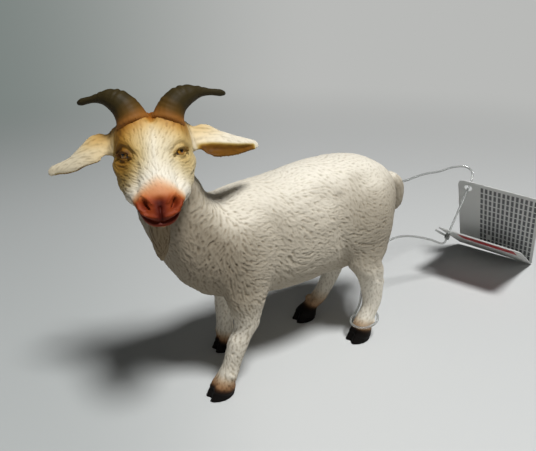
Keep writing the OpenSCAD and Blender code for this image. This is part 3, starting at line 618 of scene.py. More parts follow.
def comb(chosen, flow, pitch, length, width, height, swirl=20, bend=0.25):
    """Stamps locks on the chosen points. Sizes are in mm and may differ from point to point.
    Flow gives each lock's way."""
    chosen = np.where(chosen)[0]
    size = np.broadcast_to(pitch, (len(P),))[chosen]
    cell = np.floor(P[chosen] / size[:, None] + rng.random(3)).astype(int)
    mixed = rng.permutation(len(chosen))
    _, first = np.unique(cell[mixed], axis=0, return_index=True)
    roots = rng.permutation(chosen[mixed[first]])
    long, wide, high = (np.broadcast_to(v, (len(P),)) for v in (length, width, height))
    way = flow[roots] - N[roots] * (flow[roots] * N[roots]).sum(1)[:, None]
    side = np.cross(N[roots], way)
    angle = np.radians(swirl * waves(P[roots], 17, 3) + rng.normal(0, swirl * 0.35, len(roots)))
    way = way * np.cos(angle)[:, None] + side * np.sin(angle)[:, None]
    way /= np.maximum(np.linalg.norm(way, axis=1), 1e-6)[:, None]
    curve = bend * np.sign(waves(P[roots], 13, 5)) * rng.uniform(0.5, 1.3, len(roots))
    for i, f, c in zip(roots, way, curve):
        k = rng.uniform(0.75, 1.25)
        L, W, H = long[i] * k, wide[i] * rng.uniform(0.8, 1.2), high[i] * rng.uniform(0.75, 1.1)
        found = tree.find_range(P[i] + f * L / 2, L * 0.62)
        idx = np.fromiter((h[1] for h in found), int, len(found))
        d = P[idx] - P[i]
        u = d @ f / L
        v = d @ np.cross(N[i], f) - c * L * (u - 0.5) ** 2 * 2
        w = W * np.clip(np.sin(math.pi * np.clip(u, 0, 1) ** 0.75), 0, 1) ** 0.6 + 1e-6
        r = 2 * np.abs(v) / w
        on = (u > 0) & (u < 1) & (r < 1) & ((N[idx] @ N[i]) > 0.2)
        h = H * (0.25 + 0.75 * u[on]) * np.sqrt(1 - r[on] ** 2)
        at = idx[on]
        higher = h > relief[at]
        relief[at[higher]] = h[higher]
    return len(roots)


print("comb is ready,", len(P), "points to comb")

# %% Combing the coat
relief = np.zeros(len(P))
W = P + MIDDLE                                        # places with the trunk's middle at x = 0
neck = step(-W[:, 1], 17, 27) * step(W[:, 2], 40, 50)
chest = step(-W[:, 1], 10, 24)
legs = 1 - step(W[:, 2], 22, 34)
flow = np.stack([np.zeros(len(P)), 0.85 - 0.8 * neck - 0.35 * chest, -0.5 - 0.45 * np.maximum(neck, chest)], 1)
flow = flow * (1 - legs)[:, None] + np.array([0, 0.1, -1]) * legs[:, None]
top = step(W[:, 2] - 0.12 * W[:, 1], 58, 68) * (1 - neck)
back = np.clip((W[:, 1] + 8) / 46, 0, 1)
deep = (0.42 - 0.18 * back) * (1 - 0.45 * top) * (1 - 0.5 * legs) + 0.04
is_body = is_part["torso"] | is_leg
count = comb(is_body & (P[:, 2] > 3), flow, 0.78, 2.8 - 0.8 * legs, 0.74 - 0.08 * (back + legs), deep, 30, 0.45)
is_head = is_part["head"]
H = in_head(P)
head_flow = np.stack([0.25 * np.sign(H[:, 0]) * step(np.abs(H[:, 0]), 1, 5),
                      np.ones(len(P)), np.full(len(P), -0.25)], 1) @ HEAD.T
bare = step(-H[:, 1], 10.5, 14.5) * is_head
crown = step(H[:, 1], 3, 8)                            # longer locks on the back of the head
to_eye = np.minimum(np.linalg.norm(H - EYES[1], axis=1), np.linalg.norm(H - EYES[-1], axis=1))
fine = (0.16 + 0.16 * crown) * (1 - bare) * (1 - 0.75 * np.exp(-(to_eye / 3.0) ** 4))
count += comb(is_head & (bare < 0.8), head_flow, 0.85, 2.4 + 0.5 * crown, 0.62 + 0.1 * crown, fine, 22)
for name, (root, way, across, t, v, side) in ear_axes.items():
    shallow = 0.09 * (1 - 0.6 * step(t, 0.6, 1))
    count += comb(is_part[name], np.tile(way, (len(P), 1)), 0.9, 3.2, 0.55, shallow, 10, 0.12)
down = np.tile([0.0, 0.0, -1.0], (len(P), 1))
count += comb(is_part["beard"], down, 1.15, 8, 0.72, 0.42, 5, 0.06)
count += comb(is_part["tail"], down + [0, 0.3, 0], 1.1, 4.2, 1.0, 0.3, 10, 0.15)
relief = averaged(relief, E, 1, 0.35)
local = np.where(is_body, deep, np.where(is_head, 0.16, np.where(is_part["beard"] | is_part["tail"], 0.28, 0.09)))
local = np.maximum(local, 0.05)                       # how deep the grooves are here
hairy = np.clip(1 - soot * 1.5, 0, 1)
P += N * ((relief - 0.45 * local) * hairy)[:, None]
P[:, 2] = np.maximum(P[:, 2], 0)
groove = np.clip((averaged(relief, E, 7) - relief) / (0.4 * local), 0, 0.9) * hairy
print("locks", count)

# %% [markdown]
# ## The painter's masks and painted shade
# The figure was sprayed cream, washed with thin grey that stayed in the grooves, and then airbrushed
# and touched up by hand: ochre at the poll, eyes and ears, pink on the muzzle, black on the hooves.
# Painted shade is laid in with them: the grey in the grooves is partly painted shade, skin that
# faces sideways or down is darkened, and the right of the face and the right ear, away from the
# lamp, take their tints more fully than the left.
# Each of these coats becomes one number from 0 to 1 at every point of the skin. Stored as attributes
# they go wherever the points go, which an image on a UV map wouldn't.

# %% Where the paints meet
H = in_head(P)
W = P + MIDDLE
N = averaged(normals_of(P, skin), E, 14)               # the slope without the locks
aside, ahead, under = np.abs(H[:, 0]), -H[:, 1], -H[:, 2]
on_head, on_beard, on_tail = (is_part[n] * 1.0 for n in ("head", "beard", "tail"))
breast = np.maximum(neck, chest)


def spot(centre, radius):
    """1 at a place on the head, and less and less away from it."""
    return np.exp(-(np.linalg.norm(H - np.asarray(centre), axis=1) / radius) ** 2)


def slope(low, high):
    """1 where the skin faces sideways or down, 0 where it faces up."""
    return 1 - step(N[:, 2], low, high)


nape = on_head * step(H[:, 1], 2, 7)                   # the back of the head gets the neck's painted shade
cheeks = 1 - step(H[:, 1], 2, 7)
shaded_face_side = 1 - 0.62 * step(H[:, 0], -1, 3)                  # painted shade: the face's tints are full on its right, away from the lamp, and thin on its left
eye_ring = on_head * np.maximum(spot(EYES[1] + [0.3, -0.6, 0.2], 4.2), spot(EYES[-1] + [-0.1, -0.6, 0.2], 4.4))
poll = np.max([spot((4.4, 7.4, 4.8), 4.6), spot((-4.4, 7.4, 4.8), 4.6), spot((0, 8.8, 5.4), 4.2)], 0)
poll = on_head * np.clip(1.5 * poll, 0, 1)
ear_tint_and_shade = 0.35 * is_part["left_ear"] + 1.0 * is_part["right_ear"]      # both ears are tinted; the right one, away from the lamp, about three times as much, which is painted shade
ear_root, ear_hollow = 0, 0
for name, (root, way, across, t, v, side) in ear_axes.items():
    ear_root = ear_root + is_part[name] * (1 - step(t, 0.1, 0.62)) * (0.25 + 0.75 * step(-v, -0.3, 0.5))
    ear_hollow = ear_hollow + is_part[name] * side * step(v / np.interp(t, EAR_AT, EAR_CAD), 0.36, 0.52) * \
        step(t, 0.1, 0.2) * (1 - step(t, 0.9, 0.97))
print("points of the poll, the eye rings, the ears:", [int((m > 0.5).sum()) for m in (poll, eye_ring, ear_hollow)])

# %% Paint masks
masks = {  # from the first coat of paint to the last
    # grey in the grooves, partly painted shade: more on the neck and breast, less on the top of the back; the patch on
    # the right cheek, away from the lamp, is painted shade
    "wash_and_painted_shade": groove * np.where(is_head | (ear_tint_and_shade > 0), 0.4, 0.44 + 0.24 * breast - 0.05 * legs)
    * (1 - 0.5 * top * is_body) + 0.5 * groove * on_beard + on_head * spot((-6.4, -7.6, -0.4), 3.6) * (0.25 + 0.6 * groove),
    # painted shade: skin that faces sideways or down is darkened, most on the neck, breast, nape and tail, less on the
    # legs
    "shade": is_body * np.clip((0.42 + 0.25 * step(W[:, 1], 12, 20)) * slope(0.05, 0.85) * (1 - legs)
                               + 0.3 * step(-N[:, 2], 0.1, 0.9) + 0.5 * breast * slope(0, 0.7) * (1 - 0.9 * legs)
                               + 0.35 * neck * slope(-0.2, 0.4), 0, 1)
    + 0.1 * is_body * step(-W[:, 1], -4, 8) + 0.75 * nape * slope(0.1, 0.9) + 0.7 * on_tail * slope(0.2, 0.9),
    "ochre": np.clip(poll + 0.5 * ear_root * (0.4 + 0.6 * ear_tint_and_shade) + 0.03 * ear_tint_and_shade + 0.25 * eye_ring * shaded_face_side, 0, 1),
    "olive": shaded_face_side * np.clip(0.7 * eye_ring +
                           0.3 * on_head * cheeks * step(aside, 5, 8) * (1 - step(ahead, 4, 10)), 0, 1),
    "hollow": np.clip(ear_hollow + 0.35 * on_head * spot((0, 8.6, 5.4), 2.6), 0, 1),
    "blush": on_head * step(ahead - 0.25 * aside - 0.25 * under, 8.8, 13.6) * (1 - step(under, 2.6, 4.4)),
    "terracotta": on_head * (1 - step(under, 3.2, 5)) *
    np.clip(1.1 * step(ahead + 0.35 * under, 12.0, 15.6)
            + 0.4 * np.maximum(spot((2.9, -15.0, 0.6), 2.4), spot((-2.9, -15.0, 0.6), 2.4)), 0, 1),
    "lips": on_head * np.max([stroke(H, on_face(side), 1.0, 1.0) for side in both(MOUTH[:5])] +
                             [0.9 * stroke(H, on_face(side), 0.75, 1.0, 0.5) for side in both(NOSTRIL)] +
                             [0.8 * stroke(H, on_face([(0, -15.2, 1.3), (0, -18, -1.6)]), 1.6, 1.0)], 0),
    "straw": np.clip(0.22 * ear_tint_and_shade +
                     0.6 * shaded_face_side * on_head * cheeks * step(aside, 3.5, 7) * (1 - step(ahead, 6, 11)), 0, 1),
    "liner": on_head * np.max([stroke(H, lid(s, top_of_lid, reach), 0.5, 1.0)
                               for s in (1, -1) for top_of_lid, reach in ((0.72, 2.2), (-0.66, 2.1))], 0),
    "pastern": pastern,
    "soot": soot,
    "beard": on_beard * (0.7 + 0.3 * groove) + on_head * 0.6 * step(under, 3.8, 6) * step(ahead, 8, 12),
}
for key, value in masks.items():
    times, share = {"shade": (50, 0.7), "liner": (5, 0.5)}.get(key, (2, 0.5))
    masks[key] = np.clip(averaged(value, E, times, share), 0, 1)
print("masks", {k: round(float(v.mean()), 3) for k, v in masks.items()})

# %% [markdown]
# ## Painted PVC
# PVC figures are moulded in one colour and hand-painted with matt acrylics, so the surface is matt
# with a faint sheen (roughness about 0.6, IOR 1.5). The paints are thin, so each one tints what lies
# under it like a glaze, in the order in which they went on, and a fine bump gives the slight grain
# of sprayed paint, drawn about 0.4 mm coarse so that it shows.

# %% Painted PVC material
# shade is painted shade, and the grooves' grey is partly painted shade
PAINTS = [  # mask, colour, strength
    ("straw", "#E8D09A", 0.8), ("shade", "#A69F95", 1.0), ("wash_and_painted_shade", "#7C7264", 0.9), ("ochre", "#B47A30", 1.0),
    ("olive", "#86682C", 0.9), ("hollow", "#744E10", 1.0), ("beard", "#6E5F4A", 0.95), ("blush", "#DC9C74", 1.0),
    ("terracotta", "#A86638", 1.0), ("lips", "#74462C", 1.0), ("liner", "#5A4420", 0.8),
    ("pastern", "#A07858", 1.0), ("soot", "#16120F", 1.0)]


def painted_pvc():
    """The eye gets a dull, warm surface with a broad weak sheen, dark in the grooves and rosy at the muzzle."""
    m, shader = material("painted PVC, matt acrylic over cream", Roughness=0.6, IOR=1.5, Specular_IOR_Level=0.2)
    tree = m.node_tree
    coat = colour("#F0EADB")
    for mask, code, strength in PAINTS:
        number = add(tree, "ShaderNodeAttribute", {"attribute_name": mask})
        share = add(tree, "ShaderNodeMath", {"operation": "MULTIPLY"}, i0=number.outputs["Fac"], i1=strength)
        glaze = add(tree, "ShaderNodeGamma", Color=colour(code), Gamma=share.outputs[0])
        coat = add(tree, "ShaderNodeMix", {"data_type": "RGBA", "blend_type": "MULTIPLY"},
                   i0=1.0, i6=coat, i7=glaze.outputs[0]).outputs[2]
    tree.links.new(coat, shader.inputs["Base Color"])
    place = add(tree, "ShaderNodeTexCoord")
    grain = add(tree, "ShaderNodeTexNoise", Vector=place.outputs["Object"], Scale=2600.0, Detail=3.0)
    bump = add(tree, "ShaderNodeBump", Strength=0.12, Distance=0.00006, Height=grain.outputs["Fac"])
    tree.links.new(bump.outputs[0], shader.inputs["Normal"])
    return m


pvc = painted_pvc()
print(pvc.name, len(pvc.node_tree.nodes), "nodes")

# %% [markdown]
# ## Cutting the skin into its parts
# Every face goes to the part it is nearest to. A cut edge is closed with a fan of faces to a point
# inside, so each piece is a closed solid, and every point keeps the normal it had on the whole skin,
# so the light runs across the cuts and no seam shows.

# %% Whose face is it
def faces_of(mesh):
    """Loop starts, loop totals and corner vertices."""
    start, total = (np.empty(len(mesh.polygons), int) for _ in range(2))
    corner = np.empty(len(mesh.loops), int)
    mesh.polygons.foreach_get("loop_start", start)
    mesh.polygons.foreach_get("loop_total", total)
    mesh.loops.foreach_get("vertex_index", corner)
    return start, total, corner


def tidy_islands(labels, rounds=4):
    """Gives each face the part that most of its neighbours have, so the cuts run smoothly."""
    owner = np.repeat(np.arange(len(start)), total)
    for _ in range(rounds):
        at_point = np.stack([np.bincount(corner, labels[owner] == k, len(P)) for k in range(len(SKIN_NODES))], 1)
        labels = np.add.reduceat(at_point[corner], start, axis=0).argmax(1)
    return labels


start, total, corner = faces_of(skin)
N = normals_of(P, skin)
face_part = tidy_islands(np.add.reduceat(gap[corner], start, axis=0).argmin(1))
middle_y = np.add.reduceat(P[corner, 1], start) / total
print("faces", len(start), {n: int((face_part == k).sum()) for k, n in enumerate(SKIN_NODES)})

# %% [markdown]
# ## Closing the cuts
# Each piece is put together from its faces, and every ring of open edges gets a fan of triangles.
# Every finished piece of the goat is made the same way from here on, so one helper gives a mesh its
# smooth shading and its material and sets it in the scene.

# %% Pieces of the skin
def values_on(mesh, key, values):
    mesh.attributes.new(key, "FLOAT", "POINT").data.foreach_set("value", values.astype(np.float32))


def set_in_scene(mesh, title, finish):
    """A mesh made into an object at the origin, smooth and in its finish."""
    mesh.polygons.foreach_set("use_smooth", np.ones(len(mesh.polygons), bool))
    mesh.materials.append(finish)
    obj = bpy.data.objects.new(title, mesh)
    scene.collection.objects.link(obj)
    return obj


def open_rims(local, sizes, count):
    """The rings of points round the holes of a set of faces, given by their corners and sizes."""
    ends = np.cumsum(sizes)
    after = np.arange(len(local)) + 1
    after[ends - 1] = ends - sizes
    a, b = local, local[after]
    code = np.minimum(a, b) * count + np.maximum(a, b)
    _, first, uses = np.unique(code, return_index=True, return_counts=True)
    left = {int(b[i]): int(a[i]) for i in first[uses == 1]}
    rings = []
    while left:
        seed = next(iter(left))
        ring, here = [seed], left.pop(seed)
        while here != seed and here in left:
            ring.append(here)
            here = left.pop(here)
        rings.append(ring)
    return rings


def piece_of(name, title, chosen):
    """The closed piece made of the chosen faces of a part."""
    mine = np.where((face_part == SKIN_NODES.index(name)) & chosen)[0]
    loops = np.concatenate([np.arange(start[f], start[f] + total[f]) for f in mine])
    used, local = np.unique(corner[loops], return_inverse=True)
    sizes = total[mine]
    rings = open_rims(local, sizes, len(used))
    verts, norms = P[used], N[used]
    faces = [tuple(local[end - size:end]) for size, end in zip(sizes, np.cumsum(sizes))]
    data = {key: value[used] for key, value in masks.items()}
    for ring in rings:
        if len(ring) < 3:
            continue
        inside = verts[ring].mean(0) - norms[ring].mean(0) * 0.8
        verts, norms = np.vstack([verts, inside]), np.vstack([norms, norms[ring].mean(0)])
        data = {key: np.append(value, 0.0) for key, value in data.items()}
        faces += [(ring[i], ring[(i + 1) % len(ring)], len(verts) - 1) for i in range(len(ring))]
    mesh = bpy.data.meshes.new(title)
    mesh.from_pydata(verts * MM, [], faces)
    for key, value in data.items():
        values_on(mesh, key, value)
    obj = set_in_scene(mesh, title, pvc)
    mesh.normals_split_custom_set_from_vertices(norms.tolist())
    return obj, len(rings)


whole = np.ones(len(start), bool)
waist = float(np.median(middle_y[face_part == 0]))
plan = [(name, name + "_skin", whole) for name in SKIN_NODES[1:]]
plan += [("torso", "torso_skin_front", middle_y < waist), ("torso", "torso_skin_rear", middle_y >= waist)]
for name, title, chosen in plan:
    obj, cuts = piece_of(name, title, chosen)
    obj.data.calc_loop_triangles()
    print(title, len(obj.data.loop_triangles), "triangles,", cuts, "cuts")
    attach(obj, "goat")
    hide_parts(name)

# %% [markdown]
# ## The horns
# The horns are moulded with the head but painted a darker olive-brown, and their surface is ringed
# with low, uneven growth ridges that are strongest on the inner side. Each is cast from its CAD part
# in finer faces, because that already has the bend, and the ridges are added along its bent axis.

# %% Horns
HORN = [(0, 0, 0), (0.7, 0.6, 2), (2, 1.2, 4), (4.1, 2.1, 5.4),      # its axis, from its seat to its tip
        (6.8, 3.2, 5.9), (9.7, 4.3, 5.6), (12.2, 5.3, 5.1), (12.8, 5.6, 4.9)]
HORN_SET = {"left_horn": np.array([1.7, 0, -0.3]),                   # how far each tip is bent sideways and down
            "right_horn": np.array([0.7, 0, -1.0])}


def satin_horn():
    """The eye gets a soft sheen along the bend, brown at the root and nearly black at the tip."""
    m, shader = material("painted horn, satin olive-brown", Roughness=0.58, IOR=1.5, Specular_IOR_Level=0.15)
    tree = m.node_tree
    height = add(tree, "ShaderNodeAttribute", {"attribute_name": "height"})
    ridge = add(tree, "ShaderNodeAttribute", {"attribute_name": "ridge"})
    ramp = add(tree, "ShaderNodeValToRGB", Fac=height.outputs["Fac"])
    ramp.color_ramp.elements[0].color, ramp.color_ramp.elements[0].position = colour("#B07632"), 0.0
    ramp.color_ramp.elements[1].color, ramp.color_ramp.elements[1].position = colour("#2E2817"), 1.0
    for at, code in ((0.07, "#94602A"), (0.17, "#5C4219"), (0.3, "#3A3017")):
        ramp.color_ramp.elements.new(at).color = colour(code)
    dark = add(tree, "ShaderNodeMix", {"data_type": "RGBA"},
               i0=ridge.outputs["Fac"], i6=ramp.outputs[0], i7=colour("#241E15"))
    tree.links.new(dark.outputs[2], shader.inputs["Base Color"])
    return m


horn_paint = satin_horn()
for name, s in (("left_horn", 1), ("right_horn", -1)):
    mesh = cast([name], (0.2) * MM, name + "_ridged")
    Q, edges = points_of(mesh), edges_of(mesh)
    Q = averaged(Q, edges, 6, 0.5)
    axis = (np.array([HORN_SEAT]) + np.array(HORN)) * [s, 1, 1] @ LEVEL.T + HEAD_AT
    d, t = distance_to_line(Q, smooth_line(axis, 8))
    t = averaged(t, edges, 40, 0.7)
    inner = LEVEL @ np.array([-s, 0.2, 0.6])
    n = normals_of(Q, mesh)
    inner_side = np.clip(0.45 + 0.55 * (n @ inner), 0.1, 1)
    ripple = np.sin(t * 78 + 1.3 * np.sin(t * 31) + 0.9 * waves(Q, 5, 9))
    flare, knob = 1.3 * np.exp(-t / 0.07), 0.18 * step(t, 0.88, 0.97)
    slim = 0.62 * np.exp(-((t - 0.66) / 0.17) ** 2) - knob - flare    # a flared root, a thin outer half, a blunt tip
    grow = step(t, 0.12, 0.4) * (1 - step(t, 0.5, 0.85))              # where the ridges are
    Q = Q + n * (grow * inner_side * (0.12 * ripple - 0.03) + 0.04 * waves(Q, 3.0, 11) * grow - slim)[:, None]
    Q = Q + LEVEL @ HORN_SET[name] * step(t, 0.2, 1.0)[:, None]
    normals_of(Q, mesh)
    values_on(mesh, "height", np.clip(t, 0, 1))
    values_on(mesh, "ridge", np.clip(-ripple, 0, 1) * 0.35 * inner_side * grow)
    obj = set_in_scene(mesh, name + "_ridged", horn_paint)
    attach(obj, "goat")
    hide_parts(name)
    print(obj.name, len(Q), "points")

# %% [markdown]
# ## The eyes
# The eyes are painted on a smooth moulded ball: an amber iris with a dark, level pupil, and a clear
# gloss over it. Each is a ball set into its socket, painted by the distance from its own axis.

# %% Eyes
def gloss_eye():
    """The clear coat gives the eye its one small, sharp highlight, which makes the face look alive."""
    m, shader = material("painted eye under clear gloss", Roughness=0.16, IOR=1.5, Coat_Weight=0.6, Coat_Roughness=0.05)
    tree = m.node_tree
    out = add(tree, "ShaderNodeAttribute", {"attribute_name": "from_pupil"})
    ramp = add(tree, "ShaderNodeValToRGB", Fac=out.outputs["Fac"])
    stops = [(0.0, "#0B0806"), (0.3, "#0F0A07"), (0.38, "#8A5A14"), (0.62, "#B98222"),      # pupil, iris
             (0.74, "#5A3A12"), (0.82, "#2A1C10"), (1.0, "#5A4A38")]                        # rim, lid
    ramp.color_ramp.elements[0].color = colour(stops[0][1])
    ramp.color_ramp.elements[1].color = colour(stops[-1][1])
    for at, code in stops[1:-1]:
        ramp.color_ramp.elements.new(at).color = colour(code)
    tree.links.new(ramp.outputs[0], shader.inputs["Base Color"])
    return m


eye_paint = gloss_eye()
EYE_BALL = 2.2
EYE_DEEP = 2.25                                       # how far its middle lies under the skin
for s, name in ((1, "left_eye"), (-1, "right_eye")):
    at, x, y, out = eye_frame(s)
    centre = at - out * EYE_DEEP + y * 0.05
    bm = bmesh.new()
    bmesh.ops.create_uvsphere(bm, u_segments=40, v_segments=24, radius=EYE_BALL)
    mesh = bpy.data.meshes.new(name)
    bm.to_mesh(mesh)
    bm.free()
    B = np.array([v.co for v in mesh.vertices])
    faces = [tuple(p.vertices) for p in mesh.polygons]
    mesh.clear_geometry()                             # the sphere's faces come in a new order each run, so they are sorted
    mesh.from_pydata(B, [], sorted(f[f.index(min(f)):] + f[:f.index(min(f))] for f in faces))
    basis = np.stack([x, y, out], 1)
    reach = np.hypot(B[:, 0] / 1.2, B[:, 1]) / 1.35 + 2 * (B[:, 2] < 0)
    world = (B @ basis.T + centre) @ HEAD.T + HEAD_AT
    normals_of(world, mesh)
    values_on(mesh, "from_pupil", np.clip(reach, 0, 1))
    if s < 0:                                         # its frame is a mirror image, which turns the ball inside out
        mesh.flip_normals()
    obj = set_in_scene(mesh, name, eye_paint)
    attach(obj, "goat")
print("eyes", EYE_BALL * 2, "mm balls")

# %% [markdown]
# ## Filament and knot
# The filament is clear nylon, so it is a gloss rod that mostly lets the light through. Its knot is
# the same thread turned round itself, so it is made of rods too: the turns, the core that they hold
# and one cut end. A solved knot would look no different at this size.

# %% Filament and knot
def clear_nylon():
    """The eye gets a bright edge line and the ground faintly through the thread."""
    m, shader = material("clear nylon filament, extruded", Roughness=0.12, IOR=1.45, Transmission_Weight=0.75)
    shader.inputs["Base Color"].default_value = colour("#DDE0DE")
    return m


nylon = clear_nylon()
loop.data.materials.append(nylon)
tie = route[0] - route[-1]
tie_dir = tie / np.linalg.norm(tie)
side_a = np.cross(tie_dir, [0, 0, 1.0])
side_a /= np.linalg.norm(side_a)
side_b = np.cross(tie_dir, side_a)
KNOT_TURNS, KNOT_REACH = 3.2, 0.62 * MM
turns = np.linspace(0, 1, 90)[:, None]
angle = turns * 2 * math.pi * KNOT_TURNS
coil = route[-1] + tie * (0.12 + 0.76 * turns) + (side_a * np.cos(angle) + side_b * np.sin(angle)) * KNOT_REACH
stub = np.array([-0.8, -0.5, 0.3]) / np.linalg.norm([-0.8, -0.5, 0.3])
middle = (route[0] + route[-1]) / 2
cut_end = np.array([middle + (stub * far + [0, 0, rise]) * MM for far, rise in ((0, 0), (1.2, 0), (3, 0.1), (5, 0.35))])
knot = [rod("knot_turns", coil, 0.76 * MM), rod("knot_end", smooth_line(cut_end, 8), THREAD),
        rod("knot_core", np.array([route[-1] - tie_dir * 0.2 * MM, route[0] + tie_dir * 0.2 * MM]), THREAD)]
bpy.context.view_layer.update()
bm = bmesh.new()
for rope in knot:
    bm.from_mesh(bpy.data.meshes.new_from_object(rope.evaluated_get(bpy.context.evaluated_depsgraph_get())))
    bpy.data.objects.remove(rope)
mesh = bpy.data.meshes.new("loop_knot_tied")
bm.to_mesh(mesh)
bm.free()
tied = set_in_scene(mesh, "loop_knot_tied", nylon)
for obj, node in ((loop, "tag_loop"), (tied, "loop_knot")):
    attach(obj, "goat")
    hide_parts(node)
print("knot", len(mesh.vertices), "points")

# %% [markdown]
# ## The card
# The tag is thin coated card folded once. The CAD leaves already have its shape, round corners and
# punched holes, so they stay and only get the finish: a smooth white coat that lets a little light
# through from behind.

# %% Card
def coated_card():
    """The eye gets an even white with no texture, and the fold's shaded side stays light."""
    m, shader = material("coated card, white", Roughness=0.42, IOR=1.5)
    shader.inputs["Base Color"].default_value = colour("#E4E5E3")
    tree = m.node_tree
    through = add(tree, "ShaderNodeBsdfTranslucent", Color=colour("#E4E5E3"))
    thin = add(tree, "ShaderNodeMixShader", i0=0.3, i1=shader.outputs[0], i2=through.outputs[0])
    tree.links.new(thin.outputs[0], tree.nodes["Material Output"].inputs["Surface"])
    return m


card = coated_card()
for name in ("tag_back_leaf", "tag_cover_leaf"):
    nodes[name].data.materials.clear()
    nodes[name].data.materials.append(card)
print("card on two leaves")

# %% [markdown]
# ## Print on the card
# The inside of the back leaf carries rows of fine print and the cover a red band. Nothing is
# written here: each word is a plain bar. Rows of words repeat, so Geometry Nodes sets one bar on
# each point of a grid, with a random length, and drops some for the ragged ends.

# %% Rows of bars
CARD_AT = np.array([-6.1, 117, 1.15]) - MIDDLE
LEAVES = {"tag_back_leaf": turn("Z", 22) @ turn("Y", 3) @ turn("X", 33),
          "tag_cover_leaf": turn("Z", 22) @ turn("Y", 3) @ turn("X", 60)}


def bar_rows():
    """Bars in rows: the rows follow Y, and stand side by side along X."""
    tree = bpy.data.node_groups.new("rows_of_bars", "GeometryNodeTree")
    face = tree.interface
    face.new_socket("Geometry", in_out="OUTPUT", socket_type="NodeSocketGeometry")
    for name, kind in (("Rows", "NodeSocketInt"), ("Words", "NodeSocketInt"), ("Row pitch", "NodeSocketFloat"),
                       ("Word pitch", "NodeSocketFloat"), ("Bar width", "NodeSocketFloat"), ("Ink", "NodeSocketMaterial")):
        face.new_socket(name, in_out="INPUT", socket_type=kind)
    given = tree.nodes.new("NodeGroupInput").outputs
    rows_long = add(tree, "ShaderNodeMath", {"operation": "MULTIPLY"}, i0=given["Rows"], i1=given["Row pitch"])
    words_long = add(tree, "ShaderNodeMath", {"operation": "MULTIPLY"}, i0=given["Words"], i1=given["Word pitch"])
    grid = add(tree, "GeometryNodeMeshGrid", Size_X=rows_long.outputs[0], Size_Y=words_long.outputs[0],
               Vertices_X=given["Rows"], Vertices_Y=given["Words"])
    dots = add(tree, "GeometryNodeMeshToPoints", Mesh=grid.outputs["Mesh"])
    keep = add(tree, "FunctionNodeRandomValue", {"data_type": "BOOLEAN"}, Probability=0.03, Seed=5)
    kept = add(tree, "GeometryNodeDeleteGeometry", {"domain": "POINT"},
               Geometry=dots.outputs[0], Selection=keep.outputs[3])
    share = add(tree, "FunctionNodeRandomValue", {"data_type": "FLOAT"}, i2=0.8, i3=0.97, Seed=9)
    long = add(tree, "ShaderNodeMath", {"operation": "MULTIPLY"}, i0=share.outputs[1], i1=given["Word pitch"])
    size = add(tree, "ShaderNodeCombineXYZ", X=given["Bar width"], Y=long.outputs[0], Z=0.02 * MM)
    bar = add(tree, "GeometryNodeMeshCube", Size=(1, 1, 1))
    put = add(tree, "GeometryNodeInstanceOnPoints",
              Points=kept.outputs[0], Instance=bar.outputs["Mesh"], Scale=size.outputs[0])
    real = add(tree, "GeometryNodeRealizeInstances", Geometry=put.outputs[0])
    inked = add(tree, "GeometryNodeSetMaterial", Geometry=real.outputs[0], Material=given["Ink"])
    result = tree.nodes.new("NodeGroupOutput")
    tree.links.new(inked.outputs[0], result.inputs[0])
    return tree


print_tree = bar_rows()
print(print_tree.name, len(print_tree.nodes), "nodes")


# %% Printing the leaves
def printed(title, leaf, x, z, inner, values, ink):
    """A block of bars centred at (x, z) mm on a leaf, on its inner or its outer face."""
    holder = bpy.data.objects.new(title, bpy.data.meshes.new(title))
    scene.collection.objects.link(holder)
    rows = holder.modifiers.new("rows", "NODES")
    rows.node_group = print_tree
    names = {item.name: item.identifier for item in print_tree.interface.items_tree if item.in_out == "INPUT"}
    for key, value in dict(values, Ink=ink).items():
        rows[names[key]] = value
    bpy.context.view_layer.update()
    mesh = bpy.data.meshes.new_from_object(holder.evaluated_get(bpy.context.evaluated_depsgraph_get()))
    holder.modifiers.remove(rows)
    flat = points_of(mesh)
    basis = LEAVES[leaf]
    own = (points_of(nodes[leaf].data) - CARD_AT) @ basis
    goat_side = leaf == "tag_back_leaf"
    low_face = inner == goat_side
    y = own[:, 1].min() - 0.008 if low_face else own[:, 1].max() + 0.008
    local = np.stack([flat[:, 0] + x, y + flat[:, 2], flat[:, 1] + z], 1)
    normals_of(local @ basis.T + CARD_AT, mesh)
    bm = bmesh.new()
    bm.from_mesh(mesh)
    bmesh.ops.recalc_face_normals(bm, faces=bm.faces)
    bm.to_mesh(mesh)
    bm.free()
    holder.data = mesh
    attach(holder, "tag_back" if goat_side else "tag_cover")
    print(title, len(mesh.polygons), "faces, card from", own.min(0).round(2).tolist(), "to", own.max(0).round(2).tolist())


# Both inks lie flat in the card's coat: a little less dull than the paper, with no edge to be seen.
dark_ink, _ = material("grey offset ink", Roughness=0.5, IOR=1.5, Base_Color=colour("#626466"))
red_ink, _ = material("red offset ink", Roughness=0.45, IOR=1.5, Base_Color=colour("#B3242A"))
printed("print_rows", "tag_back_leaf", 3.9, 22.5, True,
        {"Rows": 13, "Words": 12, "Row pitch": 1.54 * MM, "Word pitch": 3.2 * MM, "Bar width": 0.95 * MM}, dark_ink)
printed("print_band", "tag_cover_leaf", 2.2, 35, False,
        {"Rows": 1, "Words": 1, "Row pitch": 6 * MM, "Word pitch": 14 * MM, "Bar width": 21 * MM}, red_ink)

# %% [markdown]
# ## Studio
# The goat stands on pale paper under one soft lamp above its left side, with a weak fill from the
# front and an even, dim sky. The paper takes the shadows near the goat. Further off it shades to
# one plain background, and the sky that a camera sees goes on in the same tints, so no horizon
# shows from any side. Paper and background are painted darker to the left, a painted shade, and
# greener there. On the paper only camera, glossy and transmission rays see that background, and in
# the sky only camera rays, so it doesn't light the goat.

# %% Floor
TO_THE_RIGHT = np.array([0.521, 0.854, 0])            # along the ground, as the camera sees it


